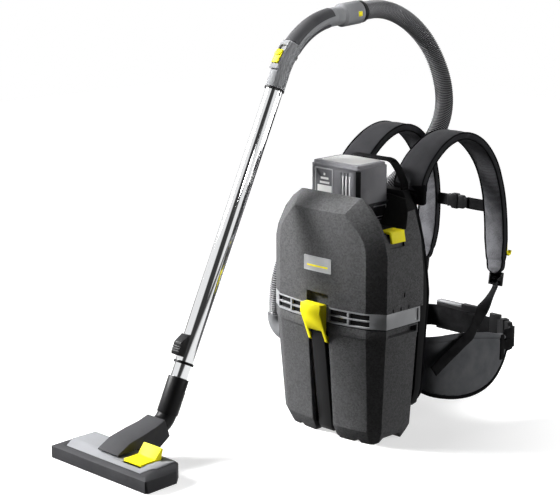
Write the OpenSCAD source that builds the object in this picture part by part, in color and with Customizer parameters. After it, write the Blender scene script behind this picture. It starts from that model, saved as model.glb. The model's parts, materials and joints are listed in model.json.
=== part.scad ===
// Backpack vacuum cleaner: dust container, motor head, battery, harness, hose, wand and floor tool.
// Every piece is drawn in machine axes: X to the right side, -Y to the front, Z up from the floor,
// with X = Y = 0 under the middle of the container. placed() then moves the whole set.

/* [Where the set stands] */
// Distance of the machine's middle from the middle of the footprint, to the right
stand_x = 64; // [0:1:150]
// Distance of the machine's middle from the middle of the footprint, to the back
stand_y = 56; // [0:1:150]

/* [Machine body] */
// Width across the sides
body_w = 314; // [300:2:330]
// How far the bowed front stands in front of the middle
body_front = 84; // [80:1:92]
// How far the flat back stands behind the middle
body_back = 67; // [62:1:76]
// Radius of the bowed front, seen from above
bow_r = 537; // [450:1:800]
// How far forward the flat sides reach, up to the slanted corners
side_front = 46; // [36:1:52]
// Slant of the two front corners
corner_a = 34; // [30:1:45]
// Cut on the upright back corners
back_cut = 10; // [4:1:16]

/* [Dust container] */
// Height of the container with its lip
container_h = 252; // [236:1:270]
// Height of the raised lip
lip_h = 18; // [12:1:24]
// Step of the body under the lip
rim_inset = 3; // [2:0.5:6]
// Draft of the walls from lip to bottom edge
draft_inset = 19; // [12:1:24]
// Height at which the bottom edge rolls under
shoe_z = 30; // [24:1:40]
// How far the feet stand in from the widest outline
foot_inset = 34; // [28:1:38]
// Thickness of the container's walls and floor
container_wall = 5; // [4:0.5:8]
// Height of the arches between the feet
arch_h = 15; // [8:1:18]
// Half width of the front channel
channel_half = 29; // [28:1:34]
// Depth of the front channel at its foot
channel_depth = 22; // [16:1:26]
// Half width of the black strip in the channel
strip_half = 18; // [14:1:20]
// Depth of the upright grooves at the back of the sides
side_groove = 4; // [2:0.5:6]
// Thickness of the rubber seal on the lip
seal_t = 3; // [2:0.5:4]

/* [Front latch] */
// Half width of the latch
latch_half = 27.5; // [24:0.5:28]
// Depth of the latch pivot below the top of the lip
latch_drop = 38; // [34:1:44]
// Radius of the latch pin
latch_pin_r = 2.5; // [2:0.25:3]
// Rise of the latch above the vent band
latch_rise = 5; // [3:0.5:8]

/* [Vent band and head] */
// Height of the light vent band
band_h = 32; // [26:1:40]
// Wall of the vent band
band_wall = 6; // [4:0.5:8]
// Width of one vent opening
vent_w = 45; // [30:1:46]
// Height of one vent opening
vent_h = 11; // [8:0.5:12]
// Height of the ridge between front face and top slope
ridge_z = 485; // [470:1:495]
// Height of the front hump
hump_z = 514; // [505:1:525]
// Height of the rear hump
rear_z = 507; // [500:1:512]
// Height of the valley floor beside the battery
valley_z = 450; // [440:1:458]
// Wall of the foam head
head_wall = 14; // [10:1:18]

/* [Battery] */
// Battery width, across the machine
battery_w = 133; // [120:1:140]
// Battery depth
battery_d = 90; // [84:1:92]
// Battery height
battery_h = 130; // [110:1:140]
// Height of the battery's underside
battery_z = 445; // [442:0.5:450]
// Wall of the battery bay
bay_wall = 3; // [2:0.5:4]

/* [Motor and filter] */
// Radius of the suction motor's housing
motor_r = 52; // [40:1:56]
// Height of the suction motor
motor_h = 95; // [70:1:104]
// Thickness of the motor filter
filter_t = 18; // [10:1:24]

/* [Harness] */
// Thickness of the rigid back frame
frame_t = 25; // [18:1:28]
// Thickness of the back cushion
pad_t = 24; // [16:1:28]
// Thickness of the shoulder straps
strap_t = 15; // [10:1:18]
// Width of the shoulder straps at their root
strap_root_w = 76; // [60:1:80]
// Width of the shoulder straps at the chest
strap_chest_w = 56; // [44:1:60]
// Width of the narrow webbing
webbing_w = 26; // [20:1:30]
// Thickness of all webbing
webbing_t = 2.4; // [1.6:0.2:3]
// Thickness of the padded hip wings
wing_t = 16; // [10:1:20]
// Width of the belt webbing
belt_w = 50; // [40:1:56]

/* [Hose and inlet] */
// Outside diameter of the hose over its ribs
hose_d = 40; // [38:1:42]
// Depth of the grooves between the ribs
rib_depth = 2.6; // [1.5:0.1:3]
// Wall of the hose between ribs
hose_wall = 2; // [1.5:0.25:2.5]
// Ribs along the hose
ribs = 150; // [80:1:180]
// Bend radius of the inlet elbow
inlet_bend = 31; // [29:1:33]
// Outside radius of the inlet elbow
inlet_r = 23; // [22:0.5:24]

/* [Wand] */
// Lean of the wand from upright
wand_lean = 26; // [20:0.5:30]
// Outside radius of the outer tube
outer_r = 19; // [18:0.25:20]
// Wall of both tubes
tube_wall = 1; // [0.8:0.1:1.5]
// Play between the two tubes
tube_play = 0.3; // [0.1:0.05:0.5]
// Length of the outer tube
outer_len = 610; // [560:5:620]
// Length of the inner tube that shows when pushed in
inner_show = 34; // [26:1:60]
// Length of the inner tube inside the outer one
inner_hidden = 520; // [420:5:560]
// Radius of the handle's curve
handle_curve_r = 190; // [180:1:200]
// Angle of the handle's curve
handle_turn = 60; // [56:0.5:62]
// Radius of the handle's grip
handle_r = 20; // [18.5:0.25:21]

/* [Floor tool] */
// Width of the floor tool
tool_w = 298; // [270:2:320]
// Depth of the floor tool
tool_d = 104; // [98:1:116]
// Height of the floor tool's flat top
tool_h = 38; // [35:0.5:42]
// Height of its front edge
tool_front_h = 26; // [22:0.5:30]
// Radius of the two rear wheels
wheel_r = 9; // [8:0.5:10]
// Width of the yellow rocker pedal
pedal_w = 52; // [40:1:60]

/* [Hidden] */

$fn = 48;
hair = 0.3;                       // gap between faces that move past each other
fit = 0.05;                       // radial play of a shaft in its hole
hull_fn = 32;

// ---- colours ----
foam_grey = [0.23, 0.235, 0.24];
black = [0.07, 0.07, 0.075];
band_grey = [0.47, 0.48, 0.49];
hose_grey = [0.42, 0.42, 0.43];
yellow = [0.93, 0.87, 0.18];
steel = [0.86, 0.87, 0.88];
fabric_grey = [0.20, 0.20, 0.21];
pale = [0.8, 0.8, 0.78];

// ---- derived heights ----
band_z = container_h + seal_t;
head_z = band_z + band_h;
rim_z = container_h - lip_h;
latch_pivot_z = container_h - latch_drop;
container_back = body_back - 5;
battery_x = battery_w / 2;
battery_front = -35;
battery_back = battery_front + battery_d;
bow_y = bow_r - body_front;       // centre of the bowed front

module placed() translate([stand_x, stand_y, 0]) children();

// XY drawing laid into the YZ plane, so that its extrusion runs along +X
module along_x() rotate([90, 0, 90]) children();

// XZ drawing, so that its extrusion runs along +Y from y0
module along_y(y0) translate([0, y0, 0]) mirror([0, 1, 0]) rotate([90, 0, 0]) children();

module both_sides() { children(); mirror([1, 0, 0]) children(); }

// ---- outline of the machine seen from above ----
// The sides are flat, the front bows, and a slanted corner joins them.
module body_plan(inset = 0, back = body_back, front = body_front) {
    hw = body_w / 2 - inset;
    side_y = side_front - inset * (1 - sin(corner_a)) / cos(corner_a);
    front_x = body_w / 2 + (side_front - front) / tan(corner_a) - inset / sin(corner_a);
    intersection() {
        translate([0, bow_y + body_front - front]) circle(r = bow_r - inset, $fn = 160);
        polygon([[-hw, back - back_cut], [-hw, -side_y], [-front_x, -front],
            [front_x, -front], [hw, -side_y], [hw, back - back_cut],
            [hw - back_cut, back], [back_cut - hw, back]]);
    }
}

module plan_slab(z, inset, back, t = 1) translate([0, 0, z]) linear_extrude(t)
    body_plan(inset, back);

// ---- container ----
function wall_inset(z) = rim_inset
    + (draft_inset - rim_inset) * (rim_z - z) / (rim_z - shoe_z);

module container_form() {
    hull() {
        plan_slab(rim_z - 1, rim_inset, container_back);
        plan_slab(shoe_z, draft_inset, container_back);
        plan_slab(0, foot_inset, container_back - 12, 0.5);
    }
}

// Room for the bag; above ledge_z it narrows, so that the grip pockets keep a wall behind them
grip_depth = 14;
ledge_z = rim_z - 2;
module container_room() {
    intersection() {
        hull() {
            plan_slab(container_h, rim_inset + container_wall, container_back - container_wall, 2);
            plan_slab(arch_h + container_wall, draft_inset + container_wall + 6,
                container_back - container_wall, 1);
        }
        union() {
            translate([-body_w, -body_w, 0]) cube([2 * body_w, 2 * body_w, ledge_z]);
            translate([grip_depth + 3 - body_w / 2, -body_w, 0])
                cube([body_w - 2 * grip_depth - 6, 2 * body_w, container_h + 5]);
        }
    }
}

// The channel's floor leans back from flush at the lip to channel_depth at the foot
channel_top_y = -(body_front - rim_inset) + 9;
channel_foot_y = -(body_front - draft_inset) + channel_depth;
channel_lean = (channel_foot_y - channel_top_y) / rim_z;
function channel_y(z) = channel_top_y + channel_lean * (rim_z - z);

module channel_cut() {
    translate([-channel_half, 0, 0]) along_x() linear_extrude(2 * channel_half)
        polygon([[-2 * body_front, -1], [channel_y(-1), -1], [channel_top_y, rim_z],
            [-2 * body_front, rim_z]]);
}

// Trapezoid arch through the foot, along X or along Y
module arch_profile(half, h) polygon([[-half, -1], [-half + h * 0.8, h],
    [half - h * 0.8, h], [half, -1]]);

module foot_arches() {
    translate([-body_w, 4, 0]) along_x() linear_extrude(2 * body_w) arch_profile(38, arch_h);
    both_sides() translate([80, 0, 0]) along_y(-2 * body_front) linear_extrude(2 * body_front)
        arch_profile(9, 9);
    along_y(-2 * body_front) linear_extrude(4 * body_front) arch_profile(channel_half + 7, arch_h);
}

// Upright grooves at the back of the sides follow the draft
module side_grooves() {
    both_sides() along_y(46) linear_extrude(11)
        polygon([[body_w / 2 - wall_inset(rim_z - 12) - side_groove, rim_z - 12],
            [body_w / 2 + 5, rim_z - 12], [body_w / 2 + 5, -1],
            [body_w / 2 - wall_inset(0) - side_groove, -1]]);
}

grip_h = 13;
module grip_pockets() {
    both_sides() translate([body_w / 2 - grip_depth, -side_front + 8, container_h - 2.5 - grip_h])
        cube([grip_depth + 5, 2 * side_front - 6, grip_h]);
}

saddle_half = 28;
spigot_r = 17;
inlet_y = -10;
inlet_z = container_h - 66;
// U-shaped gate in the left wall, open at the top, so that the inlet lifts out with the head
module inlet_gate(play = 0) {
    translate([-body_w, inlet_y, 0]) along_x() linear_extrude(body_w) {
        translate([0, inlet_z]) circle(r = saddle_half + play);
        translate([-saddle_half - play, inlet_z])
            square([2 * (saddle_half + play), container_h - inlet_z + 5]);
    }
}

module container_shell() {
    color(foam_grey) placed() difference() {
        union() {
            container_form();
            plan_slab(rim_z - 1, 1, container_back, lip_h + 1);
        }
        container_room();
        channel_cut();
        foot_arches();
        side_grooves();
        grip_pockets();
        inlet_gate(1);
    }
}

latch_end_r = 5.8;
pin_y = channel_y(latch_pivot_z) - latch_end_r - 0.4;
module container_strip() {
    color(black) placed() difference() {
        translate([-strip_half, 0, 0]) along_x() linear_extrude(2 * strip_half)
            polygon([[channel_y(10), 10], [channel_y(rim_z - 2), rim_z - 2],
                [channel_y(rim_z) - 11, rim_z - 2], [channel_y(20) - 11, 20],
                [channel_y(10) - 5, 10]]);
        translate([-strip_half - 1, pin_y, latch_pivot_z]) rotate([0, 90, 0])
            cylinder(r = latch_pin_r, h = 2 * strip_half + 2);
    }
}

module latch_pin() {
    color(steel) placed() translate([-latch_half + 2, pin_y, latch_pivot_z]) rotate([0, 90, 0])
        cylinder(r = latch_pin_r, h = 2 * latch_half - 4);
}

module container_seal() {
    color(black) placed() translate([0, 0, container_h]) linear_extrude(seal_t) difference() {
        body_plan(rim_inset, container_back - 1);
        body_plan(rim_inset + 7, container_back - 8);
        translate([-body_w, inlet_y - saddle_half - 1]) square([body_w / 2 + 40,
            2 * saddle_half + 2]);
    }
}

// Cover with two legs that straddle the strip and turn on the pin
latch_back = -body_front - 0.8;
latch_top = head_z + latch_rise;
leg_w = latch_half - strip_half - 0.6;
function latch_slope_y(z) = -body_front - 22 + (latch_top - 18 - z)
    * (pin_y - latch_end_r + body_front + 22) / (latch_top - 17 - latch_pivot_z);
module latch_profile() {
    translate([pin_y, latch_pivot_z]) circle(r = latch_end_r);
    polygon([[-body_front - 20, latch_top], [-body_front - 22, latch_top - 18],
        [pin_y - latch_end_r + 0.1, latch_pivot_z - 1], [pin_y + 4.8, latch_pivot_z + 3],
        [latch_back, rim_z - 6], [latch_back, latch_top]]);
}
module front_latch() {
    color(yellow) placed() difference() {
        translate([-latch_half, 0, 0]) along_x() linear_extrude(2 * latch_half) latch_profile();
        // room between the legs
        translate([-latch_half + leg_w, -2 * body_front, 0])
            cube([2 * (latch_half - leg_w), 3 * body_front, rim_z]);
        // hollow back, behind a wall that follows the slope of the front
        translate([-latch_half + leg_w, 0, 0]) along_x() linear_extrude(2 * (latch_half - leg_w))
            polygon([[latch_back + 5, rim_z + 14], [latch_slope_y(rim_z + 14) + 5, rim_z + 14],
                [latch_slope_y(latch_top - 20) + 5, latch_top - 20],
                [-body_front - 17, latch_top - 11], [latch_back + 5, latch_top - 11]]);
        translate([-latch_half - 1, pin_y, latch_pivot_z]) rotate([0, 90, 0])
            cylinder(r = latch_pin_r + fit, h = 2 * latch_half + 2);
    }
}

// ---- bag ----
collar_t = 3;
collar_x = -(body_w / 2 - 20);
bag_inset = body_w / 2 + collar_x + collar_t;   // its side lies on the collar
module filter_bag() {
    color([0.85, 0.84, 0.8]) placed() hull() {
        plan_slab(arch_h + container_wall + 12, draft_inset + container_wall + 26,
            container_back - container_wall - 14);
        plan_slab(inlet_z - 30, bag_inset, container_back - container_wall - 8, 60);
        plan_slab(container_h - 8, 34, container_back - container_wall - 22);
    }
}

module bag_collar() {
    color([0.62, 0.5, 0.36]) placed() translate([collar_x, inlet_y, inlet_z])
        rotate([0, 90, 0]) difference() {
            translate([-26, -26, 0]) cube([52, 52, collar_t]);
            translate([0, 0, -1]) cylinder(r = spigot_r, h = collar_t + 2);
        }
}

// ---- vent band ----
vent_x0 = 33;
vent_step_x = vent_w + 5;
vent_rows = 2;
vent_cols = 2;
vent_step_z = vent_h + 3;
vent_z0 = band_z + (band_h - vent_rows * vent_step_z + 3) / 2;
module vent_openings() {
    both_sides() for (col = [0:vent_cols - 1], row = [0:vent_rows - 1])
        translate([vent_x0 + col * vent_step_x, -body_front - 5, vent_z0 + row * vent_step_z])
            cube([vent_w, 34, vent_h]);
}

flange_t = 3;
module vent_band() {
    color(band_grey) placed() difference() {
        plan_slab(band_z, 0, body_back, band_h);
        translate([0, 0, flange_t]) plan_slab(band_z, band_wall, body_back - band_wall, band_h);
        plan_slab(band_z - 1, 30, body_back - 26, flange_t + 2);
        vent_openings();
        both_sides() translate([body_w / 2 - 2.5, 40, band_z + 3]) cube([5, 11, band_h - 6]);
    }
}

module vent_mesh() {
    color(black) placed() translate([0, 0, band_z + flange_t]) linear_extrude(band_h - flange_t)
        intersection() {
            difference() {
                body_plan(band_wall);
                body_plan(band_wall + 2);
            }
            translate([-133, -body_front]) square([266, 34]);
        }
}

// ---- head ----
// Outline of a section across the machine: half widths and heights, from the vent band up
module section_outline(pts) polygon(concat(pts,
    [for (i = [len(pts) - 1:-1:0]) [-pts[i].x, pts[i].y]]));

shoulder_z = 404;                 // the front corner slants start here
waist_z = 354;                    // the rear shoulders start here
function front_section() = [[body_w / 2, head_z], [body_w / 2, shoulder_z],
    [body_w / 2 - 6, shoulder_z + 25], [129, hump_z - 43], [107, hump_z - 18], [82, hump_z]];
function rear_section() = [[body_w / 2, head_z], [body_w / 2, waist_z],
    [148, waist_z + 75], [130, rear_z - 24], [113, rear_z - 5], [65, rear_z]];

module face_arc(z, half, depth) translate([0, 0, z - 1]) linear_extrude(1) intersection() {
    body_plan(0);
    translate([-half, -body_front - 1]) square([2 * half, depth]);
}

module head_form() {
    hull() {
        plan_slab(head_z, 0, body_back);
        face_arc(shoulder_z, 121, 20);
        face_arc(shoulder_z + 24, 118, 20);
        face_arc(ridge_z - 34, 104, 20);
        face_arc(ridge_z, 70, 6);
        along_y(-side_front) linear_extrude(1) section_outline(front_section());
        along_y(body_back - 6) linear_extrude(5) section_outline(rear_section());
        along_y(body_back - 1) linear_extrude(1) section_outline([[body_w / 2 - back_cut, head_z],
            [body_w / 2 - back_cut, waist_z], [140, waist_z + 70], [120, rear_z - 26],
            [100, rear_z - 8]]);
    }
}

valley_front = battery_front - 4;
valley_slope_foot = 26;
module valley_cut() {
    translate([-body_w, 0, 0]) along_x() linear_extrude(2 * body_w)
        polygon([[valley_front - 2, hump_z + 60], [valley_front + 1, valley_z],
            [valley_slope_foot, valley_z], [battery_back + 3, rear_z - 2],
            [battery_back + 3, hump_z + 60]]);
}

recess_h = 26;
lever_pin_r = 2;
lever_pin_x = body_w / 2 - 31;
lever_pin_z = valley_z - 3;
module lever_pin(r, y0, l) translate([lever_pin_x, y0, lever_pin_z]) rotate([-90, 0, 0])
    cylinder(r = r, h = l);

// Screws hold the back frame to the head, from behind
screw_r = 2;
screw_head_r = 4.5;
screw_head_h = 3;
screw_len = 34;
screw_places = [for (x = [-95, 95], z = [318, 378]) [x, z]];
module frame_screw_hole(p, r) translate([p.x, body_back + frame_t - screw_len, p.y])
    rotate([-90, 0, 0]) cylinder(r = r, h = screw_len + 1);
lever_y0 = -31;
lever_w = 40;
module head_shell() {
    color(foam_grey) placed() difference() {
        head_form();
        valley_cut();
        // battery bay pocket and motor room
        translate([-battery_x - bay_wall - bay_play, battery_front - bay_wall - bay_play,
            battery_z - bay_wall])
            cube([battery_w + 2 * (bay_wall + bay_play), battery_d + 2 * (bay_wall + bay_play),
                200]);
        translate([0, 0, -1]) plan_slab(head_z, head_wall, body_back - head_wall,
            battery_z - 45 - head_z);
        // finger recess over the latch
        translate([-latch_half - 3, -body_front - 5, head_z - 1])
            cube([2 * latch_half + 6, 18, recess_h + 1]);
        // recess round the release lever
        along_y(lever_y0 - 2) linear_extrude(lever_w + 4)
            polygon([[body_w / 2 - 38, valley_z - 9], [body_w / 2 - 10, valley_z - 9],
                [body_w / 2 - 10, valley_z - 31], [body_w / 2 + 9, valley_z - 31],
                [body_w / 2 + 9, valley_z + 60], [body_w / 2 - 38, valley_z + 60]]);
        for (p = screw_places) frame_screw_hole(p, screw_r);
        // small window and notches low on both sides
        both_sides() {
            translate([body_w / 2 - 2, -7, 314]) cube([6, 16, 10]);
            for (y = [-30, -6, 18]) translate([body_w / 2 - 2, y, head_z - 1]) cube([6, 5, 9]);
        }
    }
    color(foam_grey) placed() lever_pin(lever_pin_r, lever_y0 - 2, lever_w + 4);
}

// ---- motor and filter ----
module motor_filter() {
    color(pale) placed() translate([0, 0, band_z + flange_t]) linear_extrude(filter_t)
        body_plan(22, body_back - 18);
}

module suction_motor() {
    color(black) placed() translate([0, -4, band_z + flange_t + filter_t]) {
        cylinder(r = motor_r, h = motor_h * 0.45);
        translate([0, 0, motor_h * 0.45]) cylinder(r = motor_r * 0.72, h = motor_h * 0.4);
        translate([0, 0, motor_h * 0.85]) cylinder(r = motor_r * 0.4, h = motor_h * 0.15);
        for (a = [0:30:330]) rotate([0, 0, a]) translate([motor_r * 0.7, -1.5, motor_h * 0.45 - 1])
            cube([motor_r * 0.28, 3, motor_h * 0.3]);
    }
}

// ---- battery ----
module rounded_plan(w, d, r) {
    hull() for (x = [r, w - r], y = [r, d - r]) translate([x, y]) circle(r = r, $fn = 24);
}

bay_play = 1;
bay_top = battery_z + 50;
latch_win_y = 9;
latch_win_w = 40;
latch_win_z = battery_z + 15;
latch_win_h = 28;
module battery_bay() {
    out = bay_wall + bay_play;
    color(black) placed() difference() {
        translate([-battery_x - out, battery_front - out, battery_z - bay_wall])
            cube([battery_w + 2 * out, battery_d + 2 * out, bay_top - battery_z + bay_wall]);
        translate([-battery_x - bay_play, battery_front - bay_play, battery_z])
            cube([battery_w + 2 * bay_play, battery_d + 2 * bay_play, 200]);
        translate([battery_x, latch_win_y - 2, latch_win_z - 2])
            cube([20, latch_win_w + 4, latch_win_h + 4]);
    }
}

contact_h = 9;
module battery_contacts() {
    color([0.8, 0.65, 0.3]) placed() for (x = [-24, 0, 24])
        translate([x - 1, 0, battery_z]) cube([2, 22, contact_h]);
}

module battery_pack() {
    color([0.33, 0.33, 0.34]) placed() difference() {
        translate([-battery_x, battery_front, battery_z + 0.2]) {
            linear_extrude(battery_h - 6) rounded_plan(battery_w, battery_d, 7);
            translate([3, 3, battery_h - 6.01]) linear_extrude(6)
                rounded_plan(battery_w - 6, battery_d - 6, 6);
        }
        // display window and upright grooves in the front
        translate([-battery_x + 8, battery_front - 1, battery_z + 60])
            cube([46, 2.2, battery_h - 72]);
        for (x = [18, 27, 36]) translate([x, battery_front - 1, battery_z + 55])
            cube([4, 3.5, battery_h - 72]);
        // slots over the contacts and pocket of the latch
        for (x = [-24, 0, 24]) translate([x - 2, -2, battery_z - 1]) cube([4, 26, contact_h + 3]);
        translate([battery_x - 6, latch_win_y, latch_win_z]) cube([7, latch_win_w, latch_win_h]);
    }
}

module battery_latch() {
    color(black) placed() translate([battery_x - 2, latch_win_y + hair, latch_win_z + hair])
        cube([2.6, latch_win_w - 2 * hair, latch_win_h - 2 * hair]);
}

// L-shaped lever over the edge of the valley
module battery_release() {
    x1 = body_w / 2 - 1;
    color(yellow) placed() difference() {
        translate([0, lever_y0 + lever_w, 0]) rotate([90, 0, 0]) linear_extrude(lever_w)
            polygon([[x1 - 34, valley_z - 6], [x1 - 34, valley_z + 3], [x1 - 4, valley_z + 3],
                [x1, valley_z - 20], [x1 - 5, valley_z - 20], [x1 - 8, valley_z - 2],
                [x1 - 24, valley_z - 2], [x1 - 26, valley_z - 6]]);
        lever_pin(lever_pin_r + fit, lever_y0 - 1, lever_w + 2);
    }
}

// ---- carry handle: a flat band that arches over the back edge ----
handle_band = 5;
loop_y = body_back + 5;
loop_d = 23;
module loop_outline(inset) {
    hull() {
        both_sides() translate([48 - inset, 576 - 14]) circle(r = 14 - inset, $fn = hull_fn);
        both_sides() translate([84 - inset, 524]) circle(r = 6, $fn = hull_fn);
        both_sides() translate([84 - inset, 490]) circle(r = 6, $fn = hull_fn);
    }
}
frame_top = 516;
module carry_handle() {
    color(black) placed() along_y(loop_y) linear_extrude(loop_d) difference() {
        loop_outline(0);
        loop_outline(handle_band);
        translate([-200, frame_top - 400]) square([400, 400]);
    }
}

// ---- back frame and cushion ----
function frame_half() = [[118, 60], [128, 68], [137, 100], [145, 230], [150, 290], [149, 322],
    [136, 407], [112, 488], [96, frame_top]];
module frame_outline(inset) section_outline([for (p = frame_half()) [p.x - inset, p.y]]);

module back_frame() {
    color(black) placed() difference() {
        union() {
            along_y(body_back) linear_extrude(frame_t - 7) frame_outline(0);
            along_y(body_back + frame_t - 7) linear_extrude(7) frame_outline(5);
        }
        for (p = screw_places) {
            frame_screw_hole(p, screw_r);
            translate([p.x, body_back + frame_t - screw_head_h, p.y]) rotate([-90, 0, 0])
                cylinder(r = screw_head_r + 0.5, h = screw_head_h + 1);
        }
        // open cells between ribs, towards the container and the head
        both_sides() for (x = [0:3], z = [0:6]) if (z < 6 || x < 2)
            translate([2 + x * 29, body_back - 1, 76 + z * 62])
                cube([26, frame_t - 5, z == 6 ? 54 : 59]);
    }
}

module frame_screws() {
    color(steel) placed() for (p = screw_places)
        translate([p.x, body_back + frame_t, p.y]) rotate([90, 0, 0]) {
            cylinder(r = screw_head_r, h = screw_head_h);
            cylinder(r = screw_r, h = screw_len);
        }
}

module back_cushion() {
    color(fabric_grey) placed() hull() {
        along_y(body_back + frame_t) linear_extrude(4) frame_outline(9);
        along_y(body_back + frame_t + pad_t - 5) linear_extrude(5) frame_outline(16);
    }
}

// ---- swept soft forms ----
function unit(v) = v / norm(v);
function tangent(path, i) = unit(path[min(i + 1, len(path) - 1)] - path[max(i - 1, 0)]);
// Smooth curve through hand-set points, with k steps to each span
function smooth(p, k) = concat([for (i = [0:len(p) - 2], j = [0:k - 1])
    let (a = p[max(i - 1, 0)], b = p[i], c = p[i + 1], d = p[min(i + 2, len(p) - 1)], t = j / k)
    0.5 * (2 * b + (c - a) * t + (2 * a - 5 * b + 4 * c - d) * t * t
        + (3 * b - a - 3 * c + d) * t * t * t)], [p[len(p) - 1]]);

// Section with a crowned face: n points, 1 wide and 1 thick
function pad_section(n) = [for (i = [0:n - 1]) let (a = 360 * (i + 0.5) / n)
    [sign(cos(a)) * pow(abs(cos(a)), 0.45) / 2, sign(sin(a)) * pow(abs(sin(a)), 0.7) / 2]];

// Closed solid: the section, w wide along side and t thick, at each point of the path
module swept_pad(path, widths, t, side, n = 12) {
    sec = pad_section(n);
    last = len(path) - 1;
    pts = [for (i = [0:last]) let (d = tangent(path, i), s = unit(side - d * (d * side)),
            m = cross(d, s)) each [for (q = sec) path[i] + s * q.x * widths[i] + m * q.y * t[i]]];
    polyhedron(points = pts, faces = concat([[for (k = [0:n - 1]) k]],
        [[for (k = [n - 1:-1:0]) last * n + k]],
        [for (i = [0:last - 1], k = [0:n - 1]) let (a = i * n + k, b = i * n + (k + 1) % n)
            each [[a, a + n, b], [b, a + n, b + n]]]));
}

// Shoulder strap: up from the cushion, over the shoulder and down the chest
strap_y0 = body_back + frame_t + pad_t / 2;
strap_points = [[84, strap_y0, frame_top], [83, strap_y0 + 6, 536], [82, 140, 572],
    [81, 190, 603], [82, 245, 612], [85, 300, 592], [90, 345, 545], [95, 370, 485],
    [99, 380, 420], [103, 380, 350], [105, 376, 312], [106, 372, 296]];
strap_rings = smooth(strap_points, 2);
function strap_width(u) = strap_root_w + (strap_chest_w - strap_root_w) * min(u * 1.6, 1);
strap_widths = [for (i = [0:len(strap_rings) - 1]) let (u = i / (len(strap_rings) - 1))
    strap_width(u) * (u > 0.9 ? 1 - 4 * (u - 0.9) : 1)];
strap_thick = [for (i = [0:len(strap_rings) - 1]) let (u = i / (len(strap_rings) - 1))
    strap_t * (u > 0.94 ? 0.75 : 1)];
module shoulder_strap() swept_pad(strap_rings, strap_widths, strap_thick, [1, 0, 0]);

module right_shoulder_strap() { color(fabric_grey) placed() shoulder_strap(); }
module left_shoulder_strap() { color(fabric_grey) placed() mirror([1, 0, 0]) shoulder_strap(); }

// Ladder lock: a frame with two slots for webbing of width w
module ladder_lock(w, h = 30, t = 6) {
    difference() {
        translate([-w / 2 - 5, -t / 2, -h / 2]) cube([w + 10, t, h]);
        for (z = [-h / 4 - 1, h / 4 - 1]) translate([-w / 2 - 0.5, -t, z - 2])
            cube([w + 1, 2 * t, 5]);
    }
}

lock_at = [106, 373, 281];
module strap_ladder_locks() {
    color(black) placed() both_sides() translate(lock_at) rotate([-8, 0, 0])
        ladder_lock(webbing_w);
}

// From the ladder lock down to the outside of the hip wing
module strap_webbing() {
    path = [lock_at + [0, 0, -12], lock_at + [5, -14, -20], [146, 258, 214], [163.5, 212, 194],
        [157.4, 170, 176], [150.4, 147, 165]];
    swept_pad(path, [for (p = path) webbing_w], [for (p = path) webbing_t], [0.2, 0.5, -0.9], 8);
}
module right_strap_webbing() { color(black) placed() strap_webbing(); }
module left_strap_webbing() { color(black) placed() mirror([1, 0, 0]) strap_webbing(); }

// Small hook on the front of the right strap, for hanging an accessory
module accessory_hook() {
    color(yellow) placed() translate([114, 389, 330]) along_x() linear_extrude(8)
        polygon([[-2.5, 46], [1.5, 46], [1.5, 13], [7, 6], [11, 6.5], [14, 12], [17, 10.5],
            [14, 2], [7, 0], [-2.5, 8]]);
}

chest_y = 380;
chest_z = 436;
chest_half = 99 - strap_chest_w / 2;
buckle_x = -10;
module chest_webbing() {
    color(black) placed() translate([0, chest_y - webbing_t / 2, chest_z - webbing_w / 2]) {
        translate([-chest_half - 4, 0, 0]) cube([chest_half + 4 + buckle_x - 28, webbing_t,
            webbing_w]);
        translate([buckle_x + 28, 0, 0]) cube([chest_half + 4 - buckle_x - 28, webbing_t,
            webbing_w]);
    }
}

// Side-release buckle half: a body with a waist
module buckle_half(l, h, t) {
    along_y(-t / 2) linear_extrude(t) polygon([[0, -h / 2], [l * 0.55, -h / 2], [l * 0.7, -h * 0.36],
        [l, -h * 0.42], [l, h * 0.42], [l * 0.7, h * 0.36], [l * 0.55, h / 2], [0, h / 2]]);
}
module chest_buckle_socket() {
    color(black) placed() translate([buckle_x, chest_y, chest_z]) mirror([1, 0, 0])
        buckle_half(28, 34, 11);
}
module chest_buckle_plug() {
    color(black) placed() translate([buckle_x, chest_y, chest_z]) buckle_half(28, 30, 8);
}

// ---- hip belt ----
// Each ring: where the wing's middle runs, seen from above, and its lower and upper edge
wing_y0 = body_back + frame_t + pad_t + wing_t / 2 - 0.5;
wing_rings = [[88, wing_y0, 84, 196], [112, wing_y0, 76, 200], [134, wing_y0 + 16, 68, 202],
    [147, 172, 60, 202], [152, 210, 54, 198], [153, 250, 52, 190], [151, 290, 58, 184],
    [147, 320, 70, 179], [143, 345, 92, 174], [140, 364, 122, 168]];
wing_path = [for (r = wing_rings) [r[0], r[1], (r[2] + r[3]) / 2]];
wing_heights = [for (r = wing_rings) r[3] - r[2]];
module hip_wing() swept_pad(wing_path, wing_heights, [for (r = wing_rings) wing_t], [0, 0, 1], 14);
module right_hip_wing() { color(fabric_grey) placed() hip_wing(); }
module left_hip_wing() { color(fabric_grey) placed() mirror([1, 0, 0]) hip_wing(); }

belt_z = 148;
belt_y = 423;
belt_end = [56, belt_y, belt_z];
belt_points = [[-140, 362, belt_z], [-137, 388, belt_z], [-124, 410, belt_z],
    [-106, belt_y, belt_z], [-80, belt_y, belt_z], [0, belt_y, belt_z], belt_end];
plug_at = [138, 396, belt_z];
module belt_webbing() {
    path = concat(smooth([for (i = [0:3]) belt_points[i]], 3), [for (i = [4:6]) belt_points[i]]);
    tail = [[140, 362, belt_z], [142, 382, belt_z], plug_at];
    color(black) placed() {
        swept_pad(path, [for (p = path) belt_w], [for (p = path) webbing_t], [0, 0, 1], 8);
        swept_pad(tail, [for (p = tail) belt_w], [for (p = tail) webbing_t], [0, 0, 1], 8);
    }
}

lock_end = belt_end + [28, -1, 0];
module belt_ladder_lock() {
    color(black) placed() translate((belt_end + lock_end) / 2 + [0, 0, 4])
        cube([28, 9, belt_w + 14], center = true);
}

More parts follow.
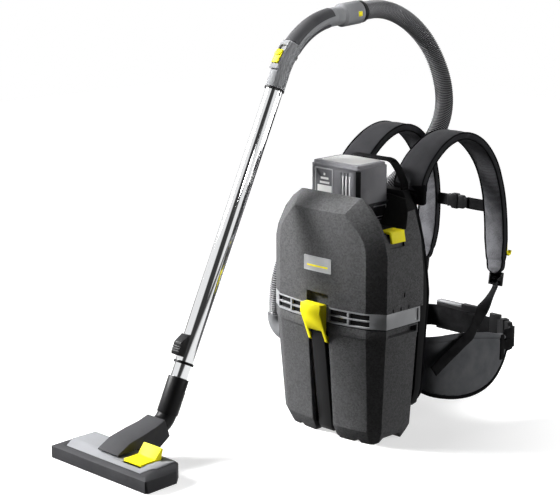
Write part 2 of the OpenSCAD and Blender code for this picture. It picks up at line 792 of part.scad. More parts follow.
buckle_line = plug_at - lock_end;
buckle_len = norm([buckle_line.x, buckle_line.y]);
buckle_turn = atan2(buckle_line.y, buckle_line.x);
module belt_buckle_socket() {
    color(black) placed() translate(lock_end + [0, 0, 2]) rotate([0, 0, buckle_turn])
        translate([buckle_len / 2, 0, 0]) mirror([1, 0, 0])
            buckle_half(buckle_len / 2, belt_w + 12, 15);
}
module belt_buckle_plug() {
    color(black) placed() translate(lock_end + [0, 0, 2]) rotate([0, 0, buckle_turn])
        translate([buckle_len / 2, 0, 0]) buckle_half(buckle_len / 2, belt_w + 8, 12);
}

// Remote control on the belt webbing
control_x0 = -103;
control_w = 74;
control_y = belt_y + webbing_t / 2;
key_w = 18;
key_x = control_x0 + 20;
module control_housing() {
    color(black) placed() difference() {
        union() {
            translate([control_x0, control_y, belt_z - 30]) cube([control_w, 14, 62]);
            translate([control_x0 + control_w, control_y, belt_z - 26]) cube([50, 12, 66]);
        }
        translate([key_x - hair, control_y + 10, belt_z - 8 - hair])
            cube([key_w + 2 * hair, 5, key_w + 2 * hair]);
    }
}
module control_cover() {
    color(band_grey) placed() translate([control_x0, control_y, belt_z + 32])
        cube([control_w, 16, 5]);
}
module control_key() {
    color(pale) placed() translate([key_x, control_y + 12, belt_z - 8])
        cube([key_w, 4, key_w]);
}

// ---- inlet ----
saddle_x = -body_w / 2 + 1;
saddle_t = 14;
air_r = 15;                       // radius of the air way through all fittings
module inlet_saddle() {
    color(black) placed() difference() {
        union() {
            intersection() {
                translate([saddle_x, -body_w, 0]) cube([saddle_t, 2 * body_w, band_z]);
                inlet_gate(-0.2);
            }
            // spigot that carries the bag's collar
            translate([saddle_x + saddle_t, inlet_y, inlet_z]) rotate([0, 90, 0])
                cylinder(r = spigot_r, h = collar_x + collar_t - saddle_x - saddle_t);
        }
        translate([-body_w, inlet_y, inlet_z]) rotate([0, 90, 0]) cylinder(r = air_r, h = body_w);
    }
}

// Tube wall: a ring of radii a and b
module tube_ring(a, b) difference() {
    circle(r = a);
    circle(r = b);
}

elbow_x = saddle_x - inlet_bend;
hose_foot_z = inlet_z + inlet_bend + 3;
module hose_elbow() {
    color(band_grey) placed() {
        translate([saddle_x, inlet_y, inlet_z + inlet_bend]) rotate([90, 0, 0])
            rotate([0, 0, 180]) rotate_extrude(angle = 90) translate([inlet_bend, 0])
                tube_ring(inlet_r, air_r);
        translate([elbow_x, inlet_y, inlet_z + inlet_bend]) linear_extrude(3)
            tube_ring(inlet_r, air_r);
    }
}

// ---- lines of the wand, in the upright plane X = wand_x ----
wand_x = -146;
socket_len = 15;
end_angle = 90 - wand_lean - handle_turn;   // rise of the handle's far end
ring_from = 26;                   // where the thick end ring starts
ring_len = 78;
collar_len = 16;
function dir(a) = [cos(a), sin(a)];          // direction in the wand plane
up_wand = dir(90 - wand_lean);
// The floor tool's hinge carries the cuff, and the tubes' lengths then set the handle's height
hinge_y = -452;
hinge_z = 30;
cuff_end = [hinge_y + 83.37, hinge_z + 54.87];
cuff_len = 76;
inner_foot = -outer_len - inner_show;
foot_y = cuff_end.x + (cuff_len - inner_foot) * up_wand.x;
foot_z = cuff_end.y + (cuff_len - inner_foot) * up_wand.y;
arc_start = [foot_y, foot_z] + socket_len * up_wand;
arc_mid = arc_start + handle_curve_r * dir(-wand_lean);
arc_end = arc_mid + handle_curve_r * dir(180 - wand_lean - handle_turn);
hose_end = arc_end + (ring_len + hair + collar_len) * dir(end_angle);
function wand_point(p) = [wand_x, p.x, p.y];

// ---- hose ----
// Route by hand, from the inlet elbow to the handle. Both ends run straight and follow their fitting.
hose_foot = [elbow_x, inlet_y, hose_foot_z];
hose_top = wand_point(hose_end);
hose_way = [0, cos(end_angle), sin(end_angle)];
hose_points = concat(
    [for (p = [[0, 0, 0], [0, 0, 20], [0, 0, 40], [-1, 8, 87], [-3, 46, 148], [5, 116, 190]])
        hose_foot + p],
    [[-143, 163, 434], [-99, 190, 456], [-60, 226, 494], [-36, 272, 540], [-28, 318, 587],
        [-45, 370, 636]],
    [for (p = [[74, 188.8, -161.3], [48, 185.8, -102.3], [27, 160.8, -53.3], [11, 122.8, -19.3],
        [3, 77.8, -1.3]]) hose_top + p],
    [for (d = [40, 20, 0]) hose_top + d * hose_way]);

// Uniform cubic spline value between control points i and i + 1, ends mirrored
function ctrl(p, i) = i < 0 ? 2 * p[0] - p[1] :
    i > len(p) - 1 ? 2 * p[len(p) - 1] - p[len(p) - 2] : p[i];
function spline(p, u) = let (i = min(floor(u), len(p) - 2), t = u - i,
        a = ctrl(p, i - 1), b = p[i], c = p[i + 1], d = ctrl(p, i + 2))
    ((1 - t) ^ 3 * a + (3 * t ^ 3 - 6 * t ^ 2 + 4) * b
        + (3 * t + 3 * t ^ 2 - 3 * t ^ 3 + 1) * c + t ^ 3 * d) / 6;

fine_steps = 400;
fine = [for (i = [0:fine_steps]) spline(hose_points, i * (len(hose_points) - 1) / fine_steps)];
function run_sums(p) = [for (i = 0, s = 0; i < len(p);
    s = s + (i < len(p) - 1 ? norm(p[i + 1] - p[i]) : 0), i = i + 1) s];
fine_run = run_sums(fine);
hose_length = fine_run[fine_steps];
// Point at a distance along the hose
function at_run(s, lo = 0, hi = fine_steps) = hi - lo <= 1
    ? fine[lo] + (fine[hi] - fine[lo]) * (s - fine_run[lo]) / (fine_run[hi] - fine_run[lo])
    : let (m = floor((lo + hi) / 2)) s < fine_run[m] ? at_run(s, lo, m) : at_run(s, m, hi);

// Two rings to a rib, flat at both ends
hose_rings = 2 * ribs;
hose_path = [for (i = [0:hose_rings]) at_run(min(hose_length * i / hose_rings,
    hose_length - 0.001))];

// Section frames carried along without twist
function carried(n, d) = unit(n - d * (n * d));
hose_dirs = [for (i = [0:hose_rings]) tangent(hose_path, i)];
hose_norms = [for (i = 0, n = [1, 0, 0]; i <= hose_rings; i = i + 1,
    n = carried(n, hose_dirs[min(i, hose_rings)])) n];
sides = 8;
function ring_points(i, r) = [for (k = [0:sides - 1]) let (a = 360 * k / sides)
    hose_path[i] + r * (cos(a) * hose_norms[i] + sin(a) * cross(hose_dirs[i], hose_norms[i]))];
function crest(i) = hose_d / 2 - (i % 2 == 1 ? rib_depth : 0);
bore_step = 6;
module hose_tube() {
    outer = [for (i = [0:hose_rings]) each ring_points(i, crest(i))];
    bore_rings = hose_rings / bore_step;
    inner = [for (j = [0:bore_rings]) each ring_points(j * bore_step,
        hose_d / 2 - rib_depth - hose_wall)];
    n0 = len(outer);
    nb = n0 + bore_rings * sides;
    top = hose_rings * sides;
    polyhedron(points = concat(outer, inner), faces = concat(
        [for (i = [0:hose_rings - 1], k = [0:sides - 1]) let (a = i * sides + k,
            b = i * sides + (k + 1) % sides) each [[a, a + sides, b], [b, a + sides, b + sides]]],
        [for (j = [0:bore_rings - 1], k = [0:sides - 1]) let (a = n0 + j * sides + k,
            b = n0 + j * sides + (k + 1) % sides)
            each [[a, b, a + sides], [b, b + sides, a + sides]]],
        [for (k = [0:sides - 1]) let (m = (k + 1) % sides)
            each [[k, m, n0 + k], [m, n0 + m, n0 + k]]],
        [for (k = [0:sides - 1]) let (m = (k + 1) % sides)
            each [[top + k, nb + k, top + m], [top + m, nb + k, nb + m]]]));
}
module suction_hose() { color(hose_grey) placed() hose_tube(); }

// ---- handle and tubes ----
module wand_plane() translate([wand_x, 0, 0]) along_x() children();

// Piece of revolution on the wand's axis, z = 0 at the handle's foot, down the tube is -z
module on_wand() translate([wand_x, foot_y, foot_z]) rotate([-wand_lean, 0, 0]) children();
// Piece of revolution on the handle's far end, z = 0 where the curve ends
module on_ring() translate([wand_x, arc_end.x, arc_end.y]) rotate([end_angle - 90, 0, 0]) children();
// Part of the handle's curve: from a degrees after its start, over turn degrees
module curve_part(a, turn) wand_plane() translate(arc_mid)
    rotate([0, 0, 180 - wand_lean - a - turn]) rotate_extrude(angle = turn, $fn = 96)
        translate([handle_curve_r, 0]) children();

grip_from = 20;
grip_turn = 37;
slider_from = 4;
slider_turn = 12;
grip_t = 2;
// Section of the soft grip's bed: the outer side of the curve
module outer_half(r, play = 0) intersection() {
    circle(r = r);
    polygon([[play - 5, -50], [50, -50], [50, 50], [play - 5, 50], [play + 11, 0]]);
}
spigot_len = 10;
module handle_shell() {
    color(band_grey) placed() difference() {
        union() {
            curve_part(0, handle_turn) tube_ring(handle_r, air_r);
            // raised bed of the slider
            curve_part(slider_from - 3, slider_turn + 6) difference() {
                translate([10, -11]) square([13, 22]);
                circle(r = 17.5);
            }
            // socket round the tube
            on_wand() rotate_extrude() polygon([[outer_r, -18], [outer_r + 1.5, -18],
                [outer_r + 1.5, socket_len], [air_r + 0.5, socket_len], [air_r + 0.5, 0],
                [outer_r, 0]]);
        }
        // bed of the soft grip, and seat of the slider
        curve_part(grip_from, grip_turn) difference() {
            outer_half(handle_r + 5);
            circle(r = handle_r - grip_t);
        }
        curve_part(slider_from, slider_turn) translate([19, -9]) square([6, 18]);
    }
}

// Thick end ring in which the hose turns
module handle_ring() {
    color(black) placed() on_ring() difference() {
        rotate_extrude() polygon([[air_r, 0], [handle_r, 0], [handle_r, ring_from - 5],
            [25, ring_from], [25, ring_len], [18 + fit, ring_len],
            [18 + fit, ring_len - spigot_len - hair], [air_r, ring_len - spigot_len - hair]]);
        // pocket of the release button, in the right side
        translate([19.5, -5.5, ring_len - 22]) cube([10, 11, 11]);
    }
}

module handle_grip() {
    color(black) placed() curve_part(grip_from + 0.1, grip_turn - 0.2) difference() {
        outer_half(handle_r + 0.8, fit);
        circle(r = handle_r - grip_t + fit);
    }
}

slider_play = 3.5;                // free run of the slider, in degrees of the curve
module suction_slider() {
    color(yellow) placed() curve_part(slider_from + 0.2, slider_turn - slider_play - 0.4)
        translate([19 + hair, -8.6]) square([7, 17.2]);
}

module hose_release_button() {
    color(yellow) placed() on_ring() translate([22, -5.2, ring_len - 21.7])
        cube([4.5, 10.4, 10.4]);
}

module hose_collar() {
    // the spigot turns in the handle's ring
    color(black) placed() on_ring() translate([0, 0, ring_len + hair]) rotate_extrude()
        polygon([[air_r, -spigot_len], [18, -spigot_len], [18, 0], [24, 0], [24, collar_len - 5],
            [21.5, collar_len], [air_r, collar_len]]);
}

module outer_tube() {
    color(steel) placed() on_wand() difference() {
        translate([0, 0, -outer_len]) cylinder(r = outer_r, h = outer_len - 0.1);
        translate([0, 0, -outer_len - 1]) cylinder(r = outer_r - tube_wall, h = outer_len + 2);
        // lock hole near the top, and window of the adjuster's catch
        translate([0, 0, -30]) rotate([0, 90, 0]) cylinder(r = 3, h = 30);
        translate([-5, -30, 22 - outer_len]) cube([10, 20, 24]);
    }
}

tube_collar_h = 5;
module tube_collar() {
    color(black) placed() on_wand() translate([0, 0, -outer_len - tube_collar_h]) difference() {
        cylinder(r = outer_r + 2, h = tube_collar_h);
        translate([0, 0, -1]) cylinder(r = outer_r - tube_wall, h = tube_collar_h + 2);
    }
}

// Adjuster block with a slanted, ridged thumb face
adjuster_w = 22;
adjuster_len = 46;
module tube_adjuster() {
    color(black) placed() on_wand() translate([0, 0, 8 - outer_len]) difference() {
        translate([-adjuster_w / 2, 0, 0]) along_x() linear_extrude(adjuster_w)
            polygon([[-outer_r + 4, 0], [-outer_r - 12, 0], [-outer_r - 15, 6],
                [-outer_r - 15, adjuster_len - 20], [-outer_r - 2, adjuster_len],
                [-outer_r + 4, adjuster_len]]);
        translate([0, 0, -1]) cylinder(r = outer_r + hair, h = adjuster_len + 2);
        for (z = [8:5:22]) translate([-adjuster_w, -outer_r - 16, z]) cube([2 * adjuster_w, 2.2, 2]);
    }
}

inner_r = outer_r - tube_wall - tube_play;
module inner_tube() {
    color(steel) placed() on_wand() difference() {
        translate([0, 0, inner_foot - 20]) cylinder(r = inner_r, h = inner_show + inner_hidden + 20);
        translate([0, 0, inner_foot - 21]) cylinder(r = inner_r - tube_wall,
            h = inner_show + inner_hidden + 22);
    }
}

// ---- floor tool ----
cuff_r = 21.5;
module tool_cuff() {
    color(black) placed() on_wand() difference() {
        union() {
            translate([0, 0, inner_foot - cuff_len]) cylinder(r = cuff_r, h = cuff_len);
            // parking hook: a blade that stands off the back
            translate([-4, cuff_r - 1, inner_foot - 30]) cube([8, 7, 6]);
            translate([-4, cuff_r + 2.5, inner_foot - 74]) cube([8, 3.5, 50]);
        }
        translate([0, 0, inner_foot - 20.1]) cylinder(r = inner_r, h = 21);
        translate([0, 0, inner_foot - cuff_len - 1]) cylinder(r = air_r, h = cuff_len + 2);
    }
}

// The elbow turns the air way from the wand's lean to the neck's lean
neck_rise = 20;
elbow_r = 38;
elbow_turn = 90 - wand_lean - neck_rise;
elbow_mid = cuff_end + elbow_r * dir(180 - wand_lean);
elbow_end = elbow_mid + elbow_r * dir(neck_rise - 90);
// Drawn along the neck's bore, z = 0 at the elbow, -z towards the floor tool
module on_neck() translate([wand_x, elbow_end.x, elbow_end.y]) rotate([neck_rise - 90, 0, 0])
    children();
module tool_elbow() {
    color(band_grey) placed() wand_plane() translate(elbow_mid)
        rotate([0, 0, neck_rise - 90]) rotate_extrude(angle = elbow_turn)
            translate([elbow_r, 0]) tube_ring(20, air_r);
}

neck_w = 62;
wheel_y = hinge_y - 1;
tool_y1 = hinge_y + 4;            // back edge of the floor tool
tool_y0 = tool_y1 - tool_d;       // front edge
tool_x0 = wand_x - tool_w / 2;
neck_r = 20;                      // half height of the neck where it meets the elbow
neck_face = elbow_end - hair * dir(neck_rise);
trunnion_r = 4;
trunnion_l = 40;
module neck_side() polygon([[tool_y0 + 28, tool_h + 2.5], [tool_y0 + 28, tool_h + 5],
    [hinge_y - 40, tool_h + 22], neck_face + neck_r * dir(neck_rise + 90) - 26 * dir(neck_rise),
    neck_face + neck_r * dir(neck_rise + 90), neck_face - neck_r * dir(neck_rise + 90),
    [hinge_y + 26, hinge_z - 8], [hinge_y + 12, hinge_z - 9.5], [hinge_y - 6, hinge_z - 9],
    [hinge_y - 9, hinge_z - 4], [hinge_y - 12, hinge_z + 13]]);
module tool_neck() {
    color([0.3, 0.3, 0.31]) placed() difference() {
        union() {
            intersection() {
                translate([wand_x - neck_w / 2, 0, 0]) along_x() linear_extrude(neck_w) neck_side();
                // the wedge narrows towards the elbow
                translate([wand_x, 0, 0]) linear_extrude(300) polygon([[-neck_w / 2, tool_y0],
                    [neck_w / 2, tool_y0], [neck_w / 2, hinge_y], [23, elbow_end.x + 30],
                    [-23, elbow_end.x + 30], [-neck_w / 2, hinge_y]]);
            }
            translate([wand_x - trunnion_l, hinge_y, hinge_z]) rotate([0, 90, 0])
                cylinder(r = trunnion_r, h = 2 * trunnion_l);
        }
        on_neck() translate([0, 0, -46]) cylinder(r = air_r, h = 50);
    }
}

// Cross-section and plan of the tool's head, joined by intersection
module tool_solid(lift = 0) {
    intersection() {
        translate([tool_x0 - 1, 0, lift]) along_x() linear_extrude(tool_w + 2)
            polygon([[tool_y0, 2], [tool_y0, tool_front_h], [tool_y0 + 8, tool_front_h + 5],
                [tool_y0 + 42, tool_h], [tool_y1 - 8, tool_h], [tool_y1, tool_h - 8],
                [tool_y1, 2]]);
        translate([wand_x, 0, lift]) along_y(tool_y0 - 1) linear_extrude(tool_d + 2)
            section_outline([[tool_w / 2, 2], [tool_w / 2 - 3, tool_front_h],
                [tool_w / 2 - 27, tool_h]]);
        linear_extrude(100) translate([wand_x, 0]) polygon([[-tool_w / 2, tool_y0 + 5],
            [-tool_w / 2 + 5, tool_y0], [tool_w / 2 - 5, tool_y0], [tool_w / 2, tool_y0 + 5],
            [tool_w / 2 - 4, tool_y1 - 24], [tool_w / 2 - 26, tool_y1],
            [-tool_w / 2 + 26, tool_y1], [-tool_w / 2 + 4, tool_y1 - 24]]);
    }
}

plate_t = 2.4;
module plate_region() {
    linear_extrude(100) translate([wand_x, 0]) polygon([[-tool_w / 2 + 38, tool_y0 + 13],
        [tool_w / 2 - 34, tool_y0 + 13], [tool_w / 2 - 22, tool_y0 + 44],
        [tool_w / 2 - 26, tool_y1 - 6], [-tool_w / 2 + 26, tool_y1 - 6],
        [-tool_w / 2 + 22, tool_y0 + 44]]);
}

pedal_x0 = wand_x + 47;
pedal_y = tool_y1 - 36;           // line of the pedal's pivot
pedal_z = tool_h - 5;
module pedal_well() translate([pedal_x0 - 1, pedal_y - 42, tool_h - 16])
    cube([pedal_w + 2, 62, 60]);
pedal_pin_r = 2.2;
module neck_well() translate([wand_x - neck_w / 2 - 2, hinge_y - 16, 10])
    cube([neck_w + 4, 60, 60]);

module tool_top_plate() {
    color([0.55, 0.56, 0.57]) placed() difference() {
        intersection() {
            tool_solid(0.8);
            plate_region();
        }
        tool_solid(0.8 - plate_t);
        pedal_well();
        neck_well();
    }
}

brush_rows = [tool_y0 + 12, tool_y1 - 21.5];
brush_w = 6;
module tool_body() {
    color([0.17, 0.17, 0.175]) placed() difference() {
        union() {
            tool_solid();
            // runners that the head rests on
            for (x = [-1, 1]) translate([wand_x + x * (tool_w / 2 - 22) - 3, tool_y0 + 24, 0])
                cube([6, 26, 6]);
        }
        intersection() {
            plate_region();
            difference() {
                translate([0, 0, 20]) linear_extrude(60) translate([wand_x, 0])
                    square([2 * tool_w, 4 * tool_d + 2000], center = true);
                tool_solid(0.8 - plate_t);
            }
        }
        pedal_well();
        neck_well();
        // suction channel and mouth under the head
        translate([wand_x - tool_w / 2 + 18, tool_y0 + 22, -1]) cube([tool_w - 36, 12, 12]);
        translate([wand_x - 32, tool_y0 + 22, -1]) cube([64, 66, 12]);
        for (y = brush_rows) translate([tool_x0 + 8, y - brush_w / 2 - hair, -1])
            cube([tool_w - 16, brush_w + 2 * hair, 17]);
        // room under the neck and for the two wheels, with a lug on each side
        translate([wand_x - neck_w / 2 - 2, hinge_y - 12, -1]) cube([neck_w + 4, 60, 20]);
        for (x = [-1, 1]) translate([wand_x + x * wheel_x - wheel_w / 2 - 1, wheel_y - wheel_r - 2,
            -1]) cube([wheel_w + 2, 60, wheel_r * 2 + 3]);
        translate([wand_x, hinge_y, hinge_z]) rotate([0, 90, 0]) translate([0, 0, -trunnion_l])
            cylinder(r = trunnion_r + fit, h = 2 * trunnion_l);
        translate([wand_x, wheel_y, wheel_r]) rotate([0, 90, 0]) translate([0, 0, -trunnion_l - 3])
            cylinder(r = axle_r + fit, h = 2 * trunnion_l + 6);
    }
    // pin of the pedal
    color([0.17, 0.17, 0.175]) placed() translate([pedal_x0 - 1, pedal_y, pedal_z])
        rotate([0, 90, 0]) cylinder(r = pedal_pin_r, h = pedal_w + 2);
}

module tool_pedal() {
    color(yellow) placed() difference() {
        translate([pedal_x0, pedal_y, pedal_z]) along_x() linear_extrude(pedal_w)
            polygon([[-38, 3], [-38, 7.5], [-2, 9], [14, 29], [18, 27], [12, 2], [4, -5],
                [-4, -5], [-8, 3]]);
        translate([pedal_x0 - 1, pedal_y, pedal_z]) rotate([0, 90, 0])
            cylinder(r = pedal_pin_r + fit, h = pedal_w + 2);
    }
}

module tool_brushes() {
    color(black) placed() for (y = brush_rows) translate([tool_x0 + 10, y - brush_w / 2, 0.5])
        cube([tool_w - 20, brush_w, 8]);
}

axle_r = 3;
wheel_x = 48;
wheel_w = 10;
module tool_wheels() {
    color(black) placed() translate([wand_x, wheel_y, 0]) {
        translate([0, 0, wheel_r]) rotate([0, 90, 0]) {
            for (s = [-1, 1]) translate([0, 0, s * wheel_x - wheel_w / 2])
                cylinder(r = wheel_r, h = wheel_w);
            translate([0, 0, -wheel_x]) cylinder(r = axle_r, h = 2 * wheel_x);
        }
    }
}

container_shell();
container_strip();
container_seal();
latch_pin();
front_latch();
filter_bag();
bag_collar();
vent_band();
vent_mesh();
head_shell();
suction_motor();
motor_filter();
battery_bay();
battery_contacts();
battery_pack();
battery_latch();
battery_release();
carry_handle();
back_frame();
frame_screws();
back_cushion();
left_shoulder_strap();
right_shoulder_strap();
strap_ladder_locks();
left_strap_webbing();
right_strap_webbing();
accessory_hook();
chest_webbing();
chest_buckle_socket();
chest_buckle_plug();
left_hip_wing();
right_hip_wing();
belt_webbing();
belt_ladder_lock();
belt_buckle_socket();
belt_buckle_plug();
control_housing();
control_cover();
control_key();
inlet_saddle();
hose_elbow();
suction_hose();
hose_collar();
handle_shell();
handle_ring();
handle_grip();
suction_slider();
hose_release_button();
outer_tube();
tube_collar();
tube_adjuster();
inner_tube();
tool_cuff();
tool_elbow();
tool_neck();
tool_body();
tool_top_plate();
tool_pedal();
tool_brushes();
tool_wheels();
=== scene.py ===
import bpy, bmesh, json, math
from mathutils import Matrix, Vector, noise
from mathutils.bvhtree import BVHTree

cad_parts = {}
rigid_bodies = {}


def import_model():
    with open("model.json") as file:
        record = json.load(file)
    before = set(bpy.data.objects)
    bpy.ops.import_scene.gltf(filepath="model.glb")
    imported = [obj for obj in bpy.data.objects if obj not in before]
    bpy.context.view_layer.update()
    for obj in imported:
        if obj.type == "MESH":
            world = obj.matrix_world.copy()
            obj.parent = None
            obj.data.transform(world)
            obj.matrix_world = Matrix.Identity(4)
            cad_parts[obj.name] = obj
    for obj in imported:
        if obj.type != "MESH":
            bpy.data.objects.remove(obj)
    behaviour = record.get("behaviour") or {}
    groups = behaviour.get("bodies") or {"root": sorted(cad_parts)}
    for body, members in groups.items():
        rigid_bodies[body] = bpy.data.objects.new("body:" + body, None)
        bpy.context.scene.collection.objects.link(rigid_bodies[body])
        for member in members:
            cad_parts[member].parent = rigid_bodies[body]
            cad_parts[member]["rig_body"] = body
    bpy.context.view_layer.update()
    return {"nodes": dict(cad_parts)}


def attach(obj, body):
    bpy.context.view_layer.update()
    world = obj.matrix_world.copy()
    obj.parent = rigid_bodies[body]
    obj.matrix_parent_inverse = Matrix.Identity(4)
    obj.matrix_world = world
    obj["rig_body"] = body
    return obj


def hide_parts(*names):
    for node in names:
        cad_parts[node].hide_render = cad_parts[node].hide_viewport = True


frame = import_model()
NODES = frame["nodes"]
BODY_OF = {name: obj["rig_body"] for name, obj in NODES.items()}
bpy.context.scene.view_settings.view_transform = "Standard"


def at(x, y, z):
    """A place on the machine, in its own millimetres, as a point of the frame in metres."""
    return Vector(((x + 64) / 1000, (y + 56) / 1000, z / 1000))


ZERO = at(0, 0, 0)                         # on the floor, in the middle of the machine
ACROSS, BACKWARDS, UPRIGHT = Vector((1, 0, 0)), Vector((0, 1, 0)), Vector((0, 0, 1))


def new_object(name, data):
    """Puts a mesh, lamp or camera into the scene."""
    obj = bpy.data.objects.new(name, data)
    bpy.context.collection.objects.link(obj)
    return obj


# ---------------------------------------------------------------- camera
# 45 degrees to the right of the front and 13 above the floor, through a long lens
lens = bpy.data.cameras.new("product_camera")
lens.sensor_width, lens.lens = 36, 108.64
lens.clip_start, lens.clip_end = 0.1, 100
camera = new_object("product_camera", lens)
camera.location = (2.38017, -2.45153, 1.175)
camera.rotation_euler = (math.radians(76.94), 0, math.radians(45))
bpy.context.scene.camera = camera


# ---------------------------------------------------------------- small helpers
def only(obj):
    """Leaves this object alone selected and active."""
    if bpy.context.mode != "OBJECT":
        bpy.ops.object.mode_set(mode="OBJECT")
    bpy.ops.object.select_all(action="DESELECT")
    obj.select_set(True)
    bpy.context.view_layer.objects.active = obj


def settle(obj):
    """Puts an object's modifiers and its place into its mesh."""
    only(obj)
    for mod in list(obj.modifiers):
        bpy.ops.object.modifier_apply(modifier=mod.name)
    bpy.ops.object.transform_apply(location=True, rotation=True, scale=True)


def smooth(obj, angle):
    """Shades an object smooth, apart from edges sharper than the angle."""
    only(obj)
    bpy.ops.object.shade_smooth_by_angle(angle=math.radians(angle))


def start_from(primitive, name, **settings):
    """Adds a primitive with nothing else selected."""
    bpy.ops.object.select_all(action="DESELECT")
    primitive(**settings)
    obj = bpy.context.object
    obj.name = name
    return obj


def modifier(obj, kind, **settings):
    """Adds a modifier with its settings; settle() applies it."""
    mod = obj.modifiers.new(kind.lower(), kind)
    for key, value in settings.items():
        setattr(mod, key, value)
    return mod


def piece(obj, finish, body, *stands_for, more=()):
    """Gives a finished piece its materials and its body, and hides the solids it stands for."""
    for each in (finish, *more):
        obj.data.materials.append(each)
    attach(obj, body)
    if stands_for:
        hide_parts(*stands_for)
    return obj


def merged_copy(node, name):
    """A solid's shape as one clean mesh, which can be bevelled or remeshed."""
    obj = new_object(name, NODES[node].data.copy())
    obj.data.materials.clear()
    only(obj)
    bpy.ops.object.mode_set(mode="EDIT")
    bpy.ops.mesh.select_all(action="SELECT")
    bpy.ops.mesh.remove_doubles(threshold=0.00002)
    bpy.ops.mesh.dissolve_limited(angle_limit=math.radians(1.5))
    bpy.ops.object.mode_set(mode="OBJECT")
    return obj


def second_finish(obj, material, numbers):
    """Gives the faces with these numbers another material."""
    obj.data.materials.append(material)
    slot = len(obj.data.materials) - 1
    for n in numbers:
        obj.data.polygons[n].material_index = slot


# ---------------------------------------------------------------- materials
def linear(hex_colour):
    """An sRGB hex colour as linear RGBA."""
    parts = [int(hex_colour[i:i + 2], 16) / 255 for i in (1, 3, 5)]
    return [c / 12.92 if c <= 0.04045 else ((c + 0.055) / 1.055) ** 2.4 for c in parts] + [1]


def feed(node, inputs):
    """Sets or links the inputs of a shader node."""
    for key, value in dict(inputs).items():
        if isinstance(value, bpy.types.NodeSocket):
            node.id_data.links.new(value, node.inputs[key])
        else:
            node.inputs[key].default_value = value


def add(tree, kind, inputs=(), stops=(), **settings):
    """Adds one shader node with its settings, values and links. Stops are the places and hex
    colours on a colour band."""
    made = tree.nodes.new("ShaderNode" + kind)
    for key, value in settings.items():
        setattr(made, key, value)
    for n, (place, colour) in enumerate(stops):
        made.color_ramp.elements[n].position = place
        made.color_ramp.elements[n].color = linear(colour)
    feed(made, inputs)
    return made


def surface(name, colour, roughness, **sockets):
    """A Principled surface with constants on its own sockets. Returns the material, its tree,
    its shader and the Object coordinates."""
    mat = bpy.data.materials.new(name)
    mat.use_nodes = True
    tree = mat.node_tree
    shader = tree.nodes["Principled BSDF"]
    feed(shader, {"Base Color": linear(colour), "Roughness": roughness})
    feed(shader, {key.replace("_", " "): value for key, value in sockets.items()})
    mat.diffuse_color = linear(colour)
    return mat, tree, shader, add(tree, "TexCoord").outputs["Object"]


def epp_foam(name, low, high):
    """Expanded polypropylene, steam-moulded: dull, with fused beads that differ a little in
    tone, and a fine grain. The beads are drawn at their real size of 3 mm."""
    mat, tree, shader, place = surface(name, high, 0.65, Specular_IOR_Level=0.04)
    bead_scale, grain_scale = 330, 600     # to the metre
    beads = add(tree, "TexVoronoi", {"Vector": place, "Scale": bead_scale, "Randomness": 1.0})
    seams = add(tree, "TexVoronoi", {"Vector": place, "Scale": bead_scale},
                feature="DISTANCE_TO_EDGE")
    grain = add(tree, "TexNoise", {"Vector": place, "Scale": grain_scale, "Detail": 3,
                                   "Roughness": 0.7})
    cloud = add(tree, "TexNoise", {"Vector": place, "Scale": 7, "Detail": 2})
    one = add(tree, "SeparateColor", {0: beads.outputs["Color"]}).outputs[0]
    fine = add(tree, "Mix", {"Factor": 0.42, "A": one, "B": grain.outputs["Fac"]},
               data_type="FLOAT")
    mixed = add(tree, "Mix", {"Factor": 0.3, "A": fine.outputs["Result"],
                              "B": cloud.outputs["Fac"]}, data_type="FLOAT")
    tone = add(tree, "ValToRGB", {"Fac": mixed.outputs["Result"]}, stops=((0.2, low), (0.8, high)))
    crown = add(tree, "Math", {0: beads.outputs["Distance"], 1: -0.5}, operation="MULTIPLY")
    line = add(tree, "MapRange", {"Value": seams.outputs["Distance"], "From Max": 0.10})
    form = add(tree, "Math", {0: crown.outputs[0], 1: line.outputs["Result"]}, operation="ADD")
    form = add(tree, "Math", {0: form.outputs[0], 1: grain.outputs["Fac"]}, operation="ADD")
    bump = add(tree, "Bump", {"Height": form.outputs[0], "Distance": 0.0007, "Strength": 0.7})
    feed(shader, {"Base Color": tone.outputs["Color"], "Normal": bump.outputs["Normal"]})
    return mat


def moulded(name, colour, dark, roughness=0.42, shine=0.28, depth=0.00006):
    """Injection-moulded plastic: one even colour, a little rubbed in places, and the grain of a
    spark-eroded mould. The grain is drawn 0.8 mm coarse, so that it shows."""
    mat, tree, shader, place = surface(name, colour, roughness, Specular_IOR_Level=shine)
    grain = add(tree, "TexNoise", {"Vector": place, "Scale": 1000 / 0.8, "Detail": 2})
    rub = add(tree, "TexNoise", {"Vector": place, "Scale": 14, "Detail": 4, "Roughness": 0.6})
    tone = add(tree, "ValToRGB", {"Fac": rub.outputs["Fac"]}, stops=((0.3, dark), (0.62, colour)))
    gloss = add(tree, "MapRange", {"Value": rub.outputs["Fac"], "From Min": 0.3, "From Max": 0.7,
                                   "To Min": roughness - 0.05, "To Max": roughness + 0.07})
    bump = add(tree, "Bump", {"Height": grain.outputs["Fac"], "Distance": depth, "Strength": 0.6})
    feed(shader, {"Base Color": tone.outputs["Color"], "Roughness": gloss.outputs["Result"],
                  "Normal": bump.outputs["Normal"]})
    return mat


